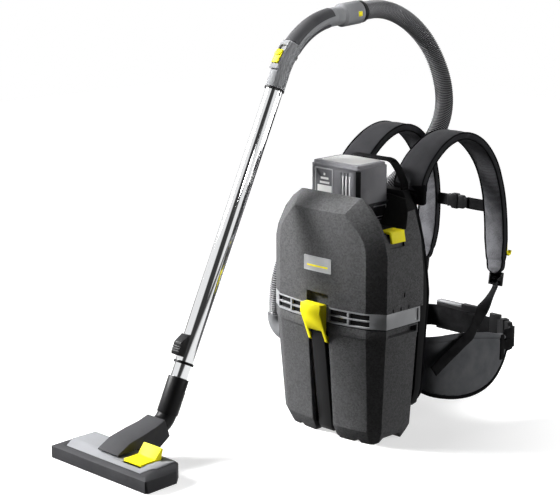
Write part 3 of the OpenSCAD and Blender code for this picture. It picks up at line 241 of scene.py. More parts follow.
def woven(name, colour, dark, thread_mm, sheen):
    """Woven polyester: dull, uneven in tone, with knots where the threads cross and slanting
    ribs. The ribs are drawn about 2.5 threads wide, so that they show."""
    mat, tree, shader, place = surface(name, colour, 0.85, Sheen_Weight=sheen,
                                       Sheen_Roughness=0.5, Specular_IOR_Level=0.03)
    scale = 1000 / thread_mm / 2
    across = add(tree, "TexWave", {"Vector": place, "Scale": scale / math.pi * 1.57,
                                   "Distortion": 0.4, "Detail": 1}, bands_direction="DIAGONAL")
    knots = add(tree, "TexVoronoi", {"Vector": place, "Scale": scale * 1.6, "Randomness": 0.35})
    cloud = add(tree, "TexNoise", {"Vector": place, "Scale": 22, "Detail": 4, "Roughness": 0.6})
    tone = add(tree, "ValToRGB", {"Fac": cloud.outputs["Fac"]}, stops=((0.32, dark), (0.7, colour)))
    height = add(tree, "Math", {0: across.outputs["Fac"], 1: knots.outputs["Distance"]},
                 operation="ADD")
    bump = add(tree, "Bump", {"Height": height.outputs[0], "Distance": 0.0002, "Strength": 0.7})
    feed(shader, {"Base Color": tone.outputs["Color"], "Normal": bump.outputs["Normal"]})
    return mat


def spacer_mesh():
    """Polyester spacer fabric: a soft grey knit, darker in its open cells, 3 mm apart."""
    mat, tree, shader, place = surface("spacer_mesh_grey", "#48484A", 0.9, Sheen_Weight=0.08,
                                       Specular_IOR_Level=0.1)
    cells = add(tree, "TexVoronoi", {"Vector": place, "Scale": 340, "Randomness": 0.25})
    cloud = add(tree, "TexNoise", {"Vector": place, "Scale": 30, "Detail": 3})
    knit = add(tree, "Math", {0: cells.outputs["Distance"], 1: cloud.outputs["Fac"]},
               operation="MULTIPLY")
    tone = add(tree, "ValToRGB", {"Fac": knit.outputs[0]},
               stops=((0.02, "#38383A"), (0.32, "#6A6A6E")))
    bump = add(tree, "Bump", {"Height": cells.outputs["Distance"], "Distance": 0.0007,
                              "Strength": 0.6})
    feed(shader, {"Base Color": tone.outputs["Color"], "Normal": bump.outputs["Normal"]})
    return mat


def webbing_weave():
    """Polyester webbing: near black and dull, with slanting ribs. They are drawn 3.3 mm apart,
    twice as coarse as real ones, so that they show."""
    mat, tree, shader, place = surface("polyester_webbing_black", "#121213", 0.85,
                                       Sheen_Weight=0.02, Specular_IOR_Level=0.03)
    ribs = add(tree, "TexWave", {"Vector": place, "Scale": 190, "Distortion": 1.2, "Detail": 2,
                                 "Detail Scale": 3.0}, bands_direction="DIAGONAL")
    cloud = add(tree, "TexNoise", {"Vector": place, "Scale": 60, "Detail": 3})
    tone = add(tree, "ValToRGB", {"Fac": cloud.outputs["Fac"]},
               stops=((0.3, "#0B0B0C"), (0.7, "#19191A")))
    bump = add(tree, "Bump", {"Height": ribs.outputs["Fac"], "Distance": 0.0003, "Strength": 0.6})
    feed(shader, {"Base Color": tone.outputs["Color"], "Normal": bump.outputs["Normal"]})
    return mat


def metal(name, colour, roughness, streak_mm=0.0):
    """Bare or plated metal. Polishing leaves hair lines where streak_mm is given: streaks of
    that width and 50 times that length, a little rougher or smoother than the rest."""
    mat, tree, shader, place = surface(name, colour, roughness, Metallic=1.0)
    if streak_mm:
        drawn_out = add(tree, "Mapping", {"Vector": place, "Scale": (1, 0.02, 0.02)})
        lines = add(tree, "TexNoise", {"Vector": drawn_out.outputs["Vector"],
                                       "Scale": 1000 / streak_mm, "Detail": 2})
        rough = add(tree, "MapRange", {"Value": lines.outputs["Fac"], "To Min": roughness * 0.6,
                                       "To Max": roughness * 1.6})
        feed(shader, {"Roughness": rough.outputs["Result"]})
    return mat


# Moulded foam: a dull wall with a speckle of beads; the near-black copy is painted shade, laid on
# the valley behind the battery
FOAM = epp_foam("epp_foam_dark_grey", "#444445", "#5D5D5E")
VALLEY_PAINTED_SHADE_FOAM = epp_foam("epp_foam_painted_valley_shade", "#101010", "#1A1A1A")
# ABS: satin black shows a faint wide highlight, matt black next to none
BLACK = moulded("abs_black_satin", "#171718", "#111112", 0.42, 0.10)
SOFT_BLACK = moulded("abs_black_matt", "#0F0F10", "#0A0A0B", 0.6, 0.05)
# ABS of the floor tool: a dull charcoal body under a grey plate, drawn paler than its own grey:
# partly the plate's colour, partly painted sheen of the top light
TOOL_BLACK = moulded("abs_charcoal_satin", "#414143", "#38383A", 0.6, 0.06)
PLATE_GREY_AND_PAINTED_SHEEN = moulded("abs_plate_grey_and_painted_sheen", "#88898C", "#7F8083", 0.5, 0.1)
# ABS greys: the handle's is nearly matt and even, the vent band's paler and glossier
GREY = moulded("abs_mid_grey", "#7E7F81", "#737476", 0.62, 0.06)
BAND = moulded("abs_light_grey", "#8A8B8D", "#7F8082", 0.38)
# ABS in a strong clear yellow, which marks whatever the hand works
YELLOW = moulded("abs_yellow", "#F2E620", "#E9DB1A", 0.5, 0.1)
# PC-ABS of the battery: a neutral grey case, with paler frames and ribs
BATTERY = moulded("pc_abs_grey", "#6E6E71", "#636366", 0.5, 0.08)
BATTERY_RIM = moulded("pc_abs_light_grey", "#A6A6A8", "#9C9C9E", 0.5, 0.08)
# Films and prints: thin, flat and smoother than the case round them
WINDOW = moulded("window_film_grey", "#66666A", "#606063", 0.3, depth=0.00002)
PRINT = moulded("window_print_white", "#EFEFED", "#E8E8E6", 0.35, depth=0.00002)
FILM = moulded("printed_film_white", "#A4A4A3", "#9B9B9A", 0.5, 0.1, 0.00002)
LABEL = moulded("printed_film_light_grey", "#B4B5B7", "#AAABAD", 0.5, 0.06, 0.00002)
# Silver lacquer: a smooth rim that catches more light than the film inside it
SILVER = moulded("silver_lacquer", "#ADAEB0", "#A4A5A7", 0.28, depth=0.00002)
# Extruded TPE: grey ribs with a soft shine; the grooves between them get a near-black copy, painted
# shade
HOSE = moulded("tpe_hose_grey", "#6A6A6C", "#5E5E60", 0.4, 0.2, 0.00003)
HOSE_GROOVE_PAINTED_SHADE = moulded("tpe_hose_groove_painted_shade", "#1F1F20", "#18181A", 0.6, 0.08)
# Soft TPE and rubber: dark, without a highlight
GRIP = moulded("tpe_soft_grip", "#444446", "#38383A", 0.66, 0.1)
RUBBER = moulded("rubber_black", "#161617", "#101011", 0.6)
# Oxford cloth: dull, grey on the wings and nearly black on the straps; the binding is flat black
WEAVE = woven("polyester_oxford_dark_grey", "#5E5F61", "#4E4F52", 0.9, 0.05)
STRAP_CLOTH = woven("polyester_oxford_black", "#2C2C2E", "#242426", 0.9, 0.04)
BINDING = woven("polyester_binding_black", "#0E0E0F", "#08080A", 0.7, 0.0)
# Spacer fabric is the grey that lies against the back; webbing is the darkest of the cloths
SPACER = spacer_mesh()
WEBBING = webbing_weave()
# Chrome on drawn steel mirrors the studio in long streaks, zinc plate only blurs it, and the
# contact blades are plain brass
CHROME = metal("chromed_steel_tube", "#E4E5E6", 0.07, 0.5)
STEEL = metal("zinc_plated_steel", "#B9BABC", 0.3, 0.8)
BRASS = metal("brass_contact", "#C9A24B", 0.3)
# Inside: off-white fleece, brown card; under the tool: short black bristle
FLEECE = woven("filter_fleece_white", "#D9D8D2", "#CFCDC6", 1.2, 0.3)
CARD = moulded("card_collar", "#B79A72", "#AA8D66", 0.8)
BRISTLE = woven("nylon_bristle_black", "#1A1A1A", "#101010", 0.5, 0.25)

FINISHES = {
    "container_shell": FOAM, "container_strip": BLACK, "container_seal": RUBBER,
    "latch_pin": STEEL, "front_latch": YELLOW, "filter_bag": FLEECE, "bag_collar": CARD,
    "vent_band": BAND, "vent_mesh": BLACK, "head_shell": FOAM, "suction_motor": BLACK,
    "motor_filter": FLEECE, "battery_bay": BLACK, "battery_contacts": BRASS,
    "battery_pack": BATTERY, "battery_latch": BLACK, "battery_release": YELLOW,
    "carry_handle": WEBBING, "back_frame": SOFT_BLACK, "frame_screws": STEEL,
    "back_cushion": SPACER, "left_shoulder_strap": WEAVE, "right_shoulder_strap": WEAVE,
    "strap_ladder_locks": BLACK, "left_strap_webbing": WEBBING, "right_strap_webbing": WEBBING,
    "accessory_hook": YELLOW, "chest_webbing": WEBBING, "chest_buckle_socket": BLACK,
    "chest_buckle_plug": BLACK, "left_hip_wing": WEAVE, "right_hip_wing": WEAVE,
    "belt_webbing": WEBBING, "belt_ladder_lock": BLACK, "belt_buckle_socket": BLACK,
    "belt_buckle_plug": BLACK, "control_housing": BLACK, "control_cover": BAND,
    "control_key": BAND, "inlet_saddle": BLACK, "hose_elbow": GREY, "suction_hose": HOSE,
    "hose_collar": BLACK, "handle_shell": GREY, "handle_ring": GREY, "handle_grip": GRIP,
    "suction_slider": YELLOW, "hose_release_button": YELLOW, "outer_tube": CHROME,
    "tube_collar": BLACK, "tube_adjuster": BLACK, "inner_tube": CHROME, "tool_cuff": BLACK,
    "tool_elbow": BLACK, "tool_neck": TOOL_BLACK, "tool_body": TOOL_BLACK, "tool_top_plate": PLATE_GREY_AND_PAINTED_SHEEN,
    "tool_pedal": YELLOW, "tool_brushes": BRISTLE, "tool_wheels": RUBBER,
}
for name, obj in NODES.items():
    obj.data.materials.clear()
    obj.data.materials.append(FINISHES[name])


# ---------------------------------------------------------------- hose
# From the inlet elbow round the back and over the shoulder into the handle's ring
HOSE_ROUTE = [(-187, -10, 220), (-187, -10, 240), (-187, -10, 260), (-188, -2, 307),
              (-190, 36, 368), (-182, 106, 410), (-143, 163, 434), (-99, 190, 456),
              (-60, 226, 494), (-36, 272, 540), (-28, 318, 587), (-45, 370, 636),
              (-72, 394, 697), (-98, 391, 756), (-119, 366, 805), (-135, 328, 839),
              (-143, 283, 857)]
ring_end = Vector((-146, 205.2, 858.3))
hose_rise = Vector((0, math.cos(math.radians(4)), math.sin(math.radians(4))))
for back in (40, 20, 0):
    HOSE_ROUTE.append(tuple(ring_end + back * hose_rise))
HOSE_ROUTE = [at(*p) for p in HOSE_ROUTE]


def even_run(route, steps):
    """Points at even distances along the smooth curve that the route's points pull."""
    pts = [2 * route[0] - route[1]] + route + [2 * route[-1] - route[-2]]
    fine = []
    for i in range(len(route) - 1):
        a, b, c, d = pts[i:i + 4]
        for k in range(30):
            t = k / 30
            fine.append(((1 - t) ** 3 * a + (3 * t ** 3 - 6 * t ** 2 + 4) * b
                         + (3 * t + 3 * t ** 2 - 3 * t ** 3 + 1) * c + t ** 3 * d) / 6)
    fine.append(route[-1].copy())
    run = [0.0]
    for p, q in zip(fine, fine[1:]):
        run.append(run[-1] + (q - p).length)
    out, j = [], 0
    for k in range(steps + 1):
        s = run[-1] * k / steps
        while j < len(run) - 2 and run[j + 1] < s:
            j += 1
        span = run[j + 1] - run[j]
        out.append(fine[j].lerp(fine[j + 1], min(1, (s - run[j]) / span)))
    return out, run[-1]


def tube_mesh(name, path, radius_at, sides, bore):
    """A closed tube swept without twist along the path; radius_at(i) is its outer radius there."""
    n = len(path)
    dirs = [(path[min(i + 1, n - 1)] - path[max(i - 1, 0)]).normalized() for i in range(n)]
    side = ACROSS
    points, faces = [], []
    for i, p in enumerate(path):
        side = (side - dirs[i] * side.dot(dirs[i])).normalized()
        up = dirs[i].cross(side)
        r = radius_at(i)
        for k in range(sides):
            a = 2 * math.pi * k / sides
            points.append(p + r * (math.cos(a) * side + math.sin(a) * up))
    for i in range(n - 1):
        for k in range(sides):
            a, b = i * sides + k, i * sides + (k + 1) % sides
            faces.append((a, a + sides, b + sides, b))
    # the bore is closed 6 mm in, so that no open edge shows
    for end, inwards in ((0, 1), (n - 1, -1)):
        first = len(points)
        base = end * sides
        for depth in (0, 6):
            for k in range(sides):
                q = points[base + k] - path[end]
                points.append(path[end] + q.normalized() * bore
                              + dirs[end] * inwards * depth / 1000)
        for k in range(sides):
            m = (k + 1) % sides
            ring = (base + k, base + m, first + m, first + k)
            wall = (first + k, first + m, first + sides + m, first + sides + k)
            faces += [ring, wall] if end == 0 else [ring[::-1], wall[::-1]]
        faces.append(tuple(first + sides + k for k in range(sides))[::1 if end == 0 else -1])
    data = bpy.data.meshes.new(name)
    data.from_pydata([tuple(p) for p in points], [], faces)
    data.update()
    data.polygons.foreach_set("use_smooth", [True] * len(faces))
    return new_object(name, data)


RIBS, HOSE_SIDES = 232, 28                 # the ribs are 4.3 mm apart
RIB_FORM = (0.0, 0.75, 1.0, 0.75, 0.0)     # height of the rings that make up a rib
RIB = len(RIB_FORM)
CUFF_R, GROOVE_R, RIB_RISE, BORE_R = 0.0198, 0.0176, 0.0024, 0.0158
hose_line, hose_length = even_run(HOSE_ROUTE, RIBS * RIB)


def hose_radius(i):
    """Outer radius of ring i: plain at both ends, ribbed between them."""
    if i < 4 or i > RIBS * RIB - 4:
        return CUFF_R
    return GROOVE_R + RIB_RISE * RIB_FORM[i % RIB]


hose = tube_mesh("hose_ribbed", hose_line, hose_radius, HOSE_SIDES, BORE_R)
piece(hose, HOSE, BODY_OF["suction_hose"], "suction_hose")
# the faces at the bottom of each groove take the near-black finish: painted shade
second_finish(hose, HOSE_GROOVE_PAINTED_SHADE, [n for n in range(RIBS * RIB * HOSE_SIDES)
                                  if n // HOSE_SIDES % RIB in (0, RIB - 1)])


# ---------------------------------------------------------------- moulded pieces
def broken_edges(node, name, material, width_mm, segments=2, angle=30, shade=40):
    """A moulded or drawn piece: the solid, with its edges broken as its making leaves them."""
    obj = merged_copy(node, name)
    modifier(obj, "BEVEL", width=width_mm / 1000, segments=segments, limit_method="ANGLE",
             angle_limit=math.radians(angle), miter_outer="MITER_ARC", use_clamp_overlap=True)
    settle(obj)
    smooth(obj, shade)
    piece(obj, material, BODY_OF[node], node)


for node, name, width in (("head_shell", "head_foam", 2.2),
                          ("container_shell", "container_foam", 2.0)):
    broken_edges(node, name, FOAM, width, 3, 18, 30)

for node, name, material, width in [
        ("front_latch", "latch_moulded", YELLOW, 1.0),
        ("vent_band", "vent_band_moulded", BAND, 0.8),
        ("container_strip", "strip_moulded", BLACK, 0.8),
        ("battery_pack", "battery_moulded", BATTERY, 1.0),
        ("battery_release", "release_lever_moulded", YELLOW, 0.8),
        ("back_frame", "back_frame_moulded", SOFT_BLACK, 1.0),
        ("strap_ladder_locks", "strap_locks_moulded", BLACK, 0.8),
        ("accessory_hook", "hook_moulded", YELLOW, 0.6),
        ("chest_buckle_socket", "chest_socket_moulded", BLACK, 1.2),
        ("chest_buckle_plug", "chest_plug_moulded", BLACK, 1.2),
        ("belt_ladder_lock", "belt_lock_moulded", BLACK, 1.0),
        ("belt_buckle_socket", "belt_socket_moulded", BLACK, 1.5),
        ("belt_buckle_plug", "belt_plug_moulded", BLACK, 1.5),
        ("control_housing", "control_housing_moulded", BLACK, 1.5),
        ("control_cover", "control_cover_moulded", BAND, 1.5),
        ("control_key", "control_key_moulded", BAND, 0.8),
        ("handle_ring", "handle_ring_moulded", GREY, 0.8),
        ("hose_collar", "hose_collar_moulded", BLACK, 0.8),
        ("suction_slider", "slider_moulded", YELLOW, 0.8),
        ("hose_release_button", "release_button_moulded", YELLOW, 0.6),
        ("outer_tube", "outer_tube_drawn", CHROME, 0.3),
        ("inner_tube", "inner_tube_drawn", CHROME, 0.3),
        ("tube_adjuster", "adjuster_moulded", BLACK, 0.6),
        ("tool_cuff", "cuff_moulded", BLACK, 0.6),
        ("tool_neck", "neck_moulded", TOOL_BLACK, 1.2),
        ("tool_top_plate", "tool_plate_moulded", PLATE_GREY_AND_PAINTED_SHEEN, 0.6),
        ("tool_pedal", "pedal_moulded", YELLOW, 0.8)]:
    broken_edges(node, name, material, width)
broken_edges("tool_body", "tool_body_moulded", TOOL_BLACK, 1.6, 3, 30, 62)


# ---------------------------------------------------------------- harness
def through(points, spacing_mm=5):
    """Points at even distances on a smooth curve through given places."""
    pts = [points[0]] + list(points) + [points[-1]]
    fine = []
    for a, b, c, d in zip(pts, pts[1:], pts[2:], pts[3:]):
        for k in range(24):
            t = k / 24
            fine.append(0.5 * (2 * b + (c - a) * t + (2 * a - 5 * b + 4 * c - d) * t * t
                               + (3 * b - a - 3 * c + d) * t ** 3))
    fine.append(points[-1].copy())
    total = sum((q - p).length for p, q in zip(fine, fine[1:]))
    steps = max(2, round(total * 1000 / spacing_mm))
    out, j, gone = [fine[0]], 0, 0.0
    for k in range(1, steps):
        goal = total * k / steps
        while gone + (fine[j + 1] - fine[j]).length < goal:
            gone += (fine[j + 1] - fine[j]).length
            j += 1
        out.append(fine[j].lerp(fine[j + 1], (goal - gone) / (fine[j + 1] - fine[j]).length))
    return out + [fine[-1]]


def frames_along(path, side):
    """Direction, side and normal at each point. The side is one for the whole path, or a
    function of the way along it, from 0 to 1."""
    out, n = [], len(path)
    for i in range(n):
        d = (path[min(i + 1, n - 1)] - path[max(i - 1, 0)]).normalized()
        s = side(i / (n - 1)) if callable(side) else side
        s = (s - d * s.dot(d)).normalized()
        out.append((d, s, d.cross(s)))
    return out


def skin(name, rings, finish_of=None):
    """A closed skin over equal rings of points. Its UV map holds metres along and around."""
    n = len(rings[0])
    middles = [sum(ring, Vector()) / n for ring in rings]
    along = [0.0]
    for p, q in zip(middles, middles[1:]):
        along.append(along[-1] + (q - p).length)
    mesh = bmesh.new()
    layer = mesh.loops.layers.uv.new("UVMap")
    verts = [[mesh.verts.new(p) for p in ring] for ring in rings]
    for i in range(len(rings) - 1):
        round_a = 0.0
        for k in range(n):
            m = (k + 1) % n
            step = (rings[i][m] - rings[i][k]).length
            face = mesh.faces.new((verts[i][k], verts[i + 1][k], verts[i + 1][m], verts[i][m]))
            face.smooth = True
            face.material_index = finish_of(k) if finish_of else 0
            for loop, uv in zip(face.loops, ((along[i], round_a), (along[i + 1], round_a),
                                             (along[i + 1], round_a + step),
                                             (along[i], round_a + step))):
                loop[layer].uv = uv
            round_a += step
    mesh.faces.new(verts[0])
    mesh.faces.new(verts[-1])
    bmesh.ops.recalc_face_normals(mesh, faces=mesh.faces)
    data = bpy.data.meshes.new(name)
    mesh.to_mesh(data)
    mesh.free()
    return new_object(name, data)


def mirrored(rings):
    """The same rings on the other side of the machine."""
    return [[Vector((2 * ZERO.x - p.x, p.y, p.z)) for p in ring] for ring in rings]


HANDS = (("right", lambda rings: rings), ("left", mirrored))


def tape_rings(path, side, wide_mm, thick_mm=2.4):
    """Rings of a flat woven band with rounded selvedges."""
    h, t = wide_mm / 2000, thick_mm / 2000
    rings = []
    for p, (d, s, m) in zip(path, frames_along(path, side)):
        rings.append([p + s * x + m * y for x, y in (
            (-h, -t * 0.5), (-h + t * 0.7, -t), (-h * 0.4, -t * 1.05), (h * 0.4, -t * 1.05),
            (h - t * 0.7, -t), (h, -t * 0.5), (h, t * 0.5), (h - t * 0.7, t), (h * 0.4, t * 1.05),
            (-h * 0.4, t * 1.05), (-h + t * 0.7, t), (-h, t * 0.5))])
    return rings


def cord_rings(path, side, wide, tall, sides, up=0.0):
    """Rings of a rounded cord, set off from the path along its normal."""
    rings = []
    for p, (d, s, m) in zip(path, frames_along(path, side)):
        rings.append([p + s * (wide * math.cos(2 * math.pi * k / sides))
                      + m * (up + tall * math.sin(2 * math.pi * k / sides)) for k in range(sides)])
    return rings


# Shoulder straps: foam between an outer oxford cloth and an inner spacer cloth, edges piped
STRAP_ROUTE = [at(84, 104, 512), at(83, 110, 536), at(82, 140, 572), at(81, 190, 603),
               at(82, 245, 612), at(85, 300, 592), at(88, 345, 545), at(91, 370, 485),
               at(94, 380, 420), at(98, 380, 350), at(102, 376, 312), at(105, 371.5, 292)]
strap_path = through(STRAP_ROUTE, 4)
strap_long = sum((q - p).length for p, q in zip(strap_path, strap_path[1:]))
strap_frames = frames_along(strap_path, ACROSS)
STRAP_HALF, STRAP_NARROWS, STRAP_THICK = 0.038, 0.0125, 0.0066
# distances from the strap's end: where it begins to taper, its cross seam, its rounded tip
TAPER_FROM, TONGUE_SEAM, TIP_FROM = 0.075, 0.03, 0.016
FACE, WALL = 15, 5                         # points across a face, and on a side wall


def strap_half(u):
    """Half width of the strap, which narrows to the chest and ends in a rounded tongue."""
    base = STRAP_HALF - STRAP_NARROWS * min(u * 1.6, 1)
    left = (1 - u) * strap_long
    base *= 1 - 0.30 * max(0, min(1, 1 - left / TAPER_FROM))
    return base * math.sqrt(max(0.06, 1 - max(0, 1 - left / TIP_FROM) ** 2))


def strap_thickness(u):
    """Half thickness, which dips at the seam and is less in the tongue beyond it."""
    left = (1 - u) * strap_long
    seam = 1 - 0.38 * math.exp(-((left - TONGUE_SEAM) / 0.0022) ** 2)
    return STRAP_THICK * seam * (0.72 if left < TONGUE_SEAM else 1) * (1 if left > 0.006 else 0.8)


def strap_rings():
    """The strap's section: outer face, side wall, inner face, side wall."""
    rings = []
    for i, (p, (d, s, m)) in enumerate(zip(strap_path, strap_frames)):
        u = i / (len(strap_path) - 1)
        h, t = strap_half(u), strap_thickness(u)
        ring = []
        for k in range(FACE):
            v = 1 - 2 * k / (FACE - 1)
            dent = noise.noise(Vector((u * 9, v * 1.6, 3))) * 0.0007
            ring.append(p + s * v * (h - 0.001) - m * (t + 0.0016 * (1 - v * v) + dent))
        for k in range(WALL):
            v = 1 - 2 * (k + 0.5) / WALL
            ring.append(p - s * (h + 0.0005 * (1 - v * v)) - m * v * (t - 0.0006))
        for k in range(FACE):
            v = -1 + 2 * k / (FACE - 1)
            # the inner cloth gathers into creases where the strap bends over the shoulder
            bend = math.exp(-((u - 0.33) / 0.13) ** 2)
            crease = noise.noise(Vector((u * 46, v * 1.1, 8))) * 0.0030 * bend
            ring.append(p + s * v * (h - 0.001)
                        + m * (t + 0.0014 * (1 - v * v) + crease * (1 - v ** 4)))
        for k in range(WALL):
            v = -1 + 2 * (k + 0.5) / WALL
            ring.append(p + s * (h + 0.0005 * (1 - v * v)) - m * v * (t - 0.0006))
        rings.append(ring)
    return rings


def strap_finish(k):
    """Outer cloth, side wall or inner cloth, by the point's place on the section."""
    if k < FACE - 1:
        return 0
    return 1 if FACE + WALL <= k < 2 * FACE + WALL - 1 else 2


def strap_edge(side, face, radius=0.0017):
    """Piping along one of the strap's four edges."""
    rings = []
    for i, (p, (d, s, m)) in enumerate(zip(strap_path, strap_frames)):
        u = i / (len(strap_path) - 1)
        middle = p + s * side * strap_half(u) + m * face * strap_thickness(u)
        rings.append([middle + s * radius * math.cos(math.pi * k / 4)
                      + m * radius * math.sin(math.pi * k / 4) for k in range(8)])
    return rings


pad = strap_rings()
edges = [strap_edge(side, face) for side in (-1, 1) for face in (-1, 1)]
for hand, flip in HANDS:
    strap = piece(skin("shoulder_strap_" + hand, flip(pad), strap_finish), STRAP_CLOTH,
                  "machine", hand + "_shoulder_strap", more=(SPACER, STRAP_CLOTH))
    for i, edge in enumerate(edges):
        piece(skin("strap_piping_%s_%d" % (hand, i), flip(edge)), BINDING, "machine")


# Webbing from the ladder lock to the hip wing: it leaves the lock edge on and turns flat
STRAP_TAIL = [at(106, 373, 270), at(111, 359, 259), at(126, 312, 238), at(146, 258, 214),
              at(161, 222, 198), at(164, 205, 191), at(163, 190, 184), at(162, 172, 174),
              at(158, 150, 160), at(154, 128, 145), at(150, 112, 133)]


def tail_side(u):
    """The webbing's width, edge on at the lock and turning flat in the first half."""
    flat, edge_on = Vector((0.1, 0.55, -0.83)), Vector((0.83, -0.5, 0.2))
    turn = max(0, min(1, (u - 0.05) / 0.5))
    return edge_on.lerp(flat, turn * turn * (3 - 2 * turn))


TAPE_MM, BELT_MM = 26, 50                  # widths of the webbing
tail = tape_rings(through(STRAP_TAIL, 4), tail_side, TAPE_MM)
for hand, flip in HANDS:
    piece(skin("strap_tail_" + hand, flip(tail)), WEBBING, "machine", hand + "_strap_webbing")

# Chest webbing in two lengths that meet in the buckle; the first one stands for the solid
for i, (x0, x1, stands_for) in enumerate(((-76, -36, ("chest_webbing",)), (16, 76, ()))):
    path = through([at(x0, 380, 436), at((2 * x0 + x1) / 3, 380.6, 435.6),
                    at((x0 + 2 * x1) / 3, 380.6, 435.8), at(x1, 380, 436)], 4)
    piece(skin("chest_webbing_%d" % i, tape_rings(path, UPRIGHT, TAPE_MM)), WEBBING, "machine",
          *stands_for)

# Carry handle: doubled webbing, folded round at the middle where the hand holds it
CARRY = [at(-84, 83.5, 498), at(-86.5, 83.5, 512), at(-86.8, 83.5, 524), at(-79, 83.5, 541),
         at(-62, 83.5, 564), at(-48, 83.5, 573), at(-24, 83.5, 573.5), at(0, 83.5, 573.5),
         at(24, 83.5, 573.5), at(48, 83.5, 573), at(62, 83.5, 564), at(79, 83.5, 541),
         at(86.8, 83.5, 524), at(86.5, 83.5, 512), at(84, 83.5, 498)]
carry_path = through(CARRY, 4)
piece(skin("carry_loop", tape_rings(carry_path, BACKWARDS, 22.5, 4.6)), WEBBING, "machine",
      "carry_handle")
grasp = carry_path[len(carry_path) * 30 // 100:len(carry_path) * 70 // 100 + 1]
piece(skin("carry_grasp", cord_rings(grasp, BACKWARDS, 0.0112, 0.0042, 20)), BINDING, "machine")


# ---------------------------------------------------------------- padded pieces
PRESSURE, FRAMES = 4.0, 20                 # of the air that fills a pad, and time for it


def fill_pad(obj, voxel, cap, hold):
    """Blows up a sewn pad with a cloth simulation. No point moves further than cap, and the
    points for which hold() is true are sewn down."""
    modifier(obj, "REMESH", mode="VOXEL", voxel_size=voxel)
    settle(obj)
    start = [v.co.copy() for v in obj.data.vertices]
    cloth = modifier(obj, "CLOTH")
    cloth.settings.quality = 4
    cloth.settings.mass = 0.25
    cloth.settings.tension_stiffness = cloth.settings.compression_stiffness = 12
    cloth.settings.bending_stiffness = 0.4
    cloth.settings.use_pressure = True
    cloth.settings.uniform_pressure_force = PRESSURE
    cloth.settings.effector_weights.gravity = 0
    sewn = obj.vertex_groups.new(name="sewn_down")
    sewn.add([i for i, p in enumerate(start) if hold(p)], 1.0, "REPLACE")
    cloth.settings.vertex_group_mass = "sewn_down"
    for frame_number in range(1, FRAMES + 1):
        bpy.context.scene.frame_set(frame_number)
    blown = obj.evaluated_get(bpy.context.evaluated_depsgraph_get()).data
    goal = [v.co.copy() for v in blown.vertices]
    obj.modifiers.clear()
    obj.vertex_groups.clear()
    for v, p, q in zip(obj.data.vertices, start, goal):
        move = q - p
        v.co = p + move * min(1, cap / max(move.length, 1e-9))
    bpy.context.scene.frame_set(1)
    modifier(obj, "SMOOTH", factor=0.5, iterations=3)
    modifier(obj, "SUBSURF", levels=1, render_levels=1)
    settle(obj)
    obj.data.polygons.foreach_set("use_smooth", [True] * len(obj.data.polygons))
    return obj


# Hip wings: padded, from the back frame round to the belt; x, y, lower and upper edge
WING = [(88, 123.5, 84, 196), (112, 123.5, 76, 200), (134, 139.5, 68, 202), (147, 172, 60, 202),
        (152, 210, 54, 198), (153, 250, 52, 190), (151, 290, 58, 184), (147, 320, 70, 179),
        (143, 345, 92, 174), (140, 364, 122, 168)]
wing_low = through([at(x, y, z0) for x, y, z0, z1 in WING], 5)
wing_top = through([at(x, y, z1) for x, y, z0, z1 in WING], 5)
WING_STEPS = 64


def on_run(path, u):
    """The point at u, from 0 to 1, on an even run of points."""
    i = u * (len(path) - 1)
    return path[int(i)].lerp(path[min(int(i) + 1, len(path) - 1)], i - int(i))


wing_spine = []
for i in range(WING_STEPS + 1):
    low, top = on_run(wing_low, i / WING_STEPS), on_run(wing_top, i / WING_STEPS)
    wing_spine.append(((low + top) / 2, (top.z - low.z) / 2))
wing_frames = frames_along([p for p, half in wing_spine], UPRIGHT)


def wing_rings(thick):
    """The wing's pad before it is filled, thinner and lower than it ends up."""
    rings = []
    for (p, half), (d, s, m) in zip(wing_spine, wing_frames):
        ring = []
        for k in range(28):
            a = 2 * math.pi * (k + 0.5) / 28
            x = math.copysign(abs(math.cos(a)) ** 0.6, math.cos(a))
            y = math.copysign(abs(math.sin(a)) ** 0.8, math.sin(a))
            ring.append(p + s * x * (half - 0.003) + m * y * thick / 2)
        rings.append(ring)
    return rings


def wing_edge(up, wide, tall):
    """A cord or band along the wing's upper (up = 1) or lower (up = -1) edge."""
    rings = []
    for (p, half), (d, s, m) in zip(wing_spine, wing_frames):
        middle = p + s * up * (half - wide)
        rings.append([middle + s * wide * math.cos(math.pi * k / 7)
                      + m * tall * math.sin(math.pi * k / 7) for k in range(14)])
    return rings


def wing_end():
    """Binding round the free end, from the lower edge up to the upper one."""
    p, half = wing_spine[-1]
    d, s, m = wing_frames[-1]
    route = [p - s * half * 0.98 - d * 0.004, p - s * half * 0.7 + d * 0.0015,
             p + d * 0.0025, p + s * half * 0.7 + d * 0.0015, p + s * half * 0.98 - d * 0.004]
    return cord_rings(through(route, 3), m, 0.0062, 0.0026, 12)


def near_edges(p):
    """True along the sewn rim of a wing, on either side of the machine."""
    q = Vector((ZERO.x + abs(p.x - ZERO.x), p.y, p.z))
    best = min(range(WING_STEPS + 1), key=lambda i: (wing_spine[i][0].xy - q.xy).length)
    middle, half = wing_spine[best]
    return abs(q.z - middle.z) > half - 0.008 or best in (0, WING_STEPS)


for hand, flip in HANDS:
    wing = fill_pad(skin("hip_wing_" + hand, flip(wing_rings(0.0105))), 0.005, 0.004, near_edges)
    piece(wing, WEAVE, "machine", hand + "_hip_wing")
    for label, rings, finish in (
            ("top_band", wing_edge(1, 0.0078, 0.0070), WEAVE),
            ("bottom_binding", wing_edge(-1, 0.0042, 0.0056), BINDING),
            ("end_binding", wing_end(), BINDING)):
        piece(skin("wing_%s_%s" % (label, hand), flip(rings)), finish, "machine")

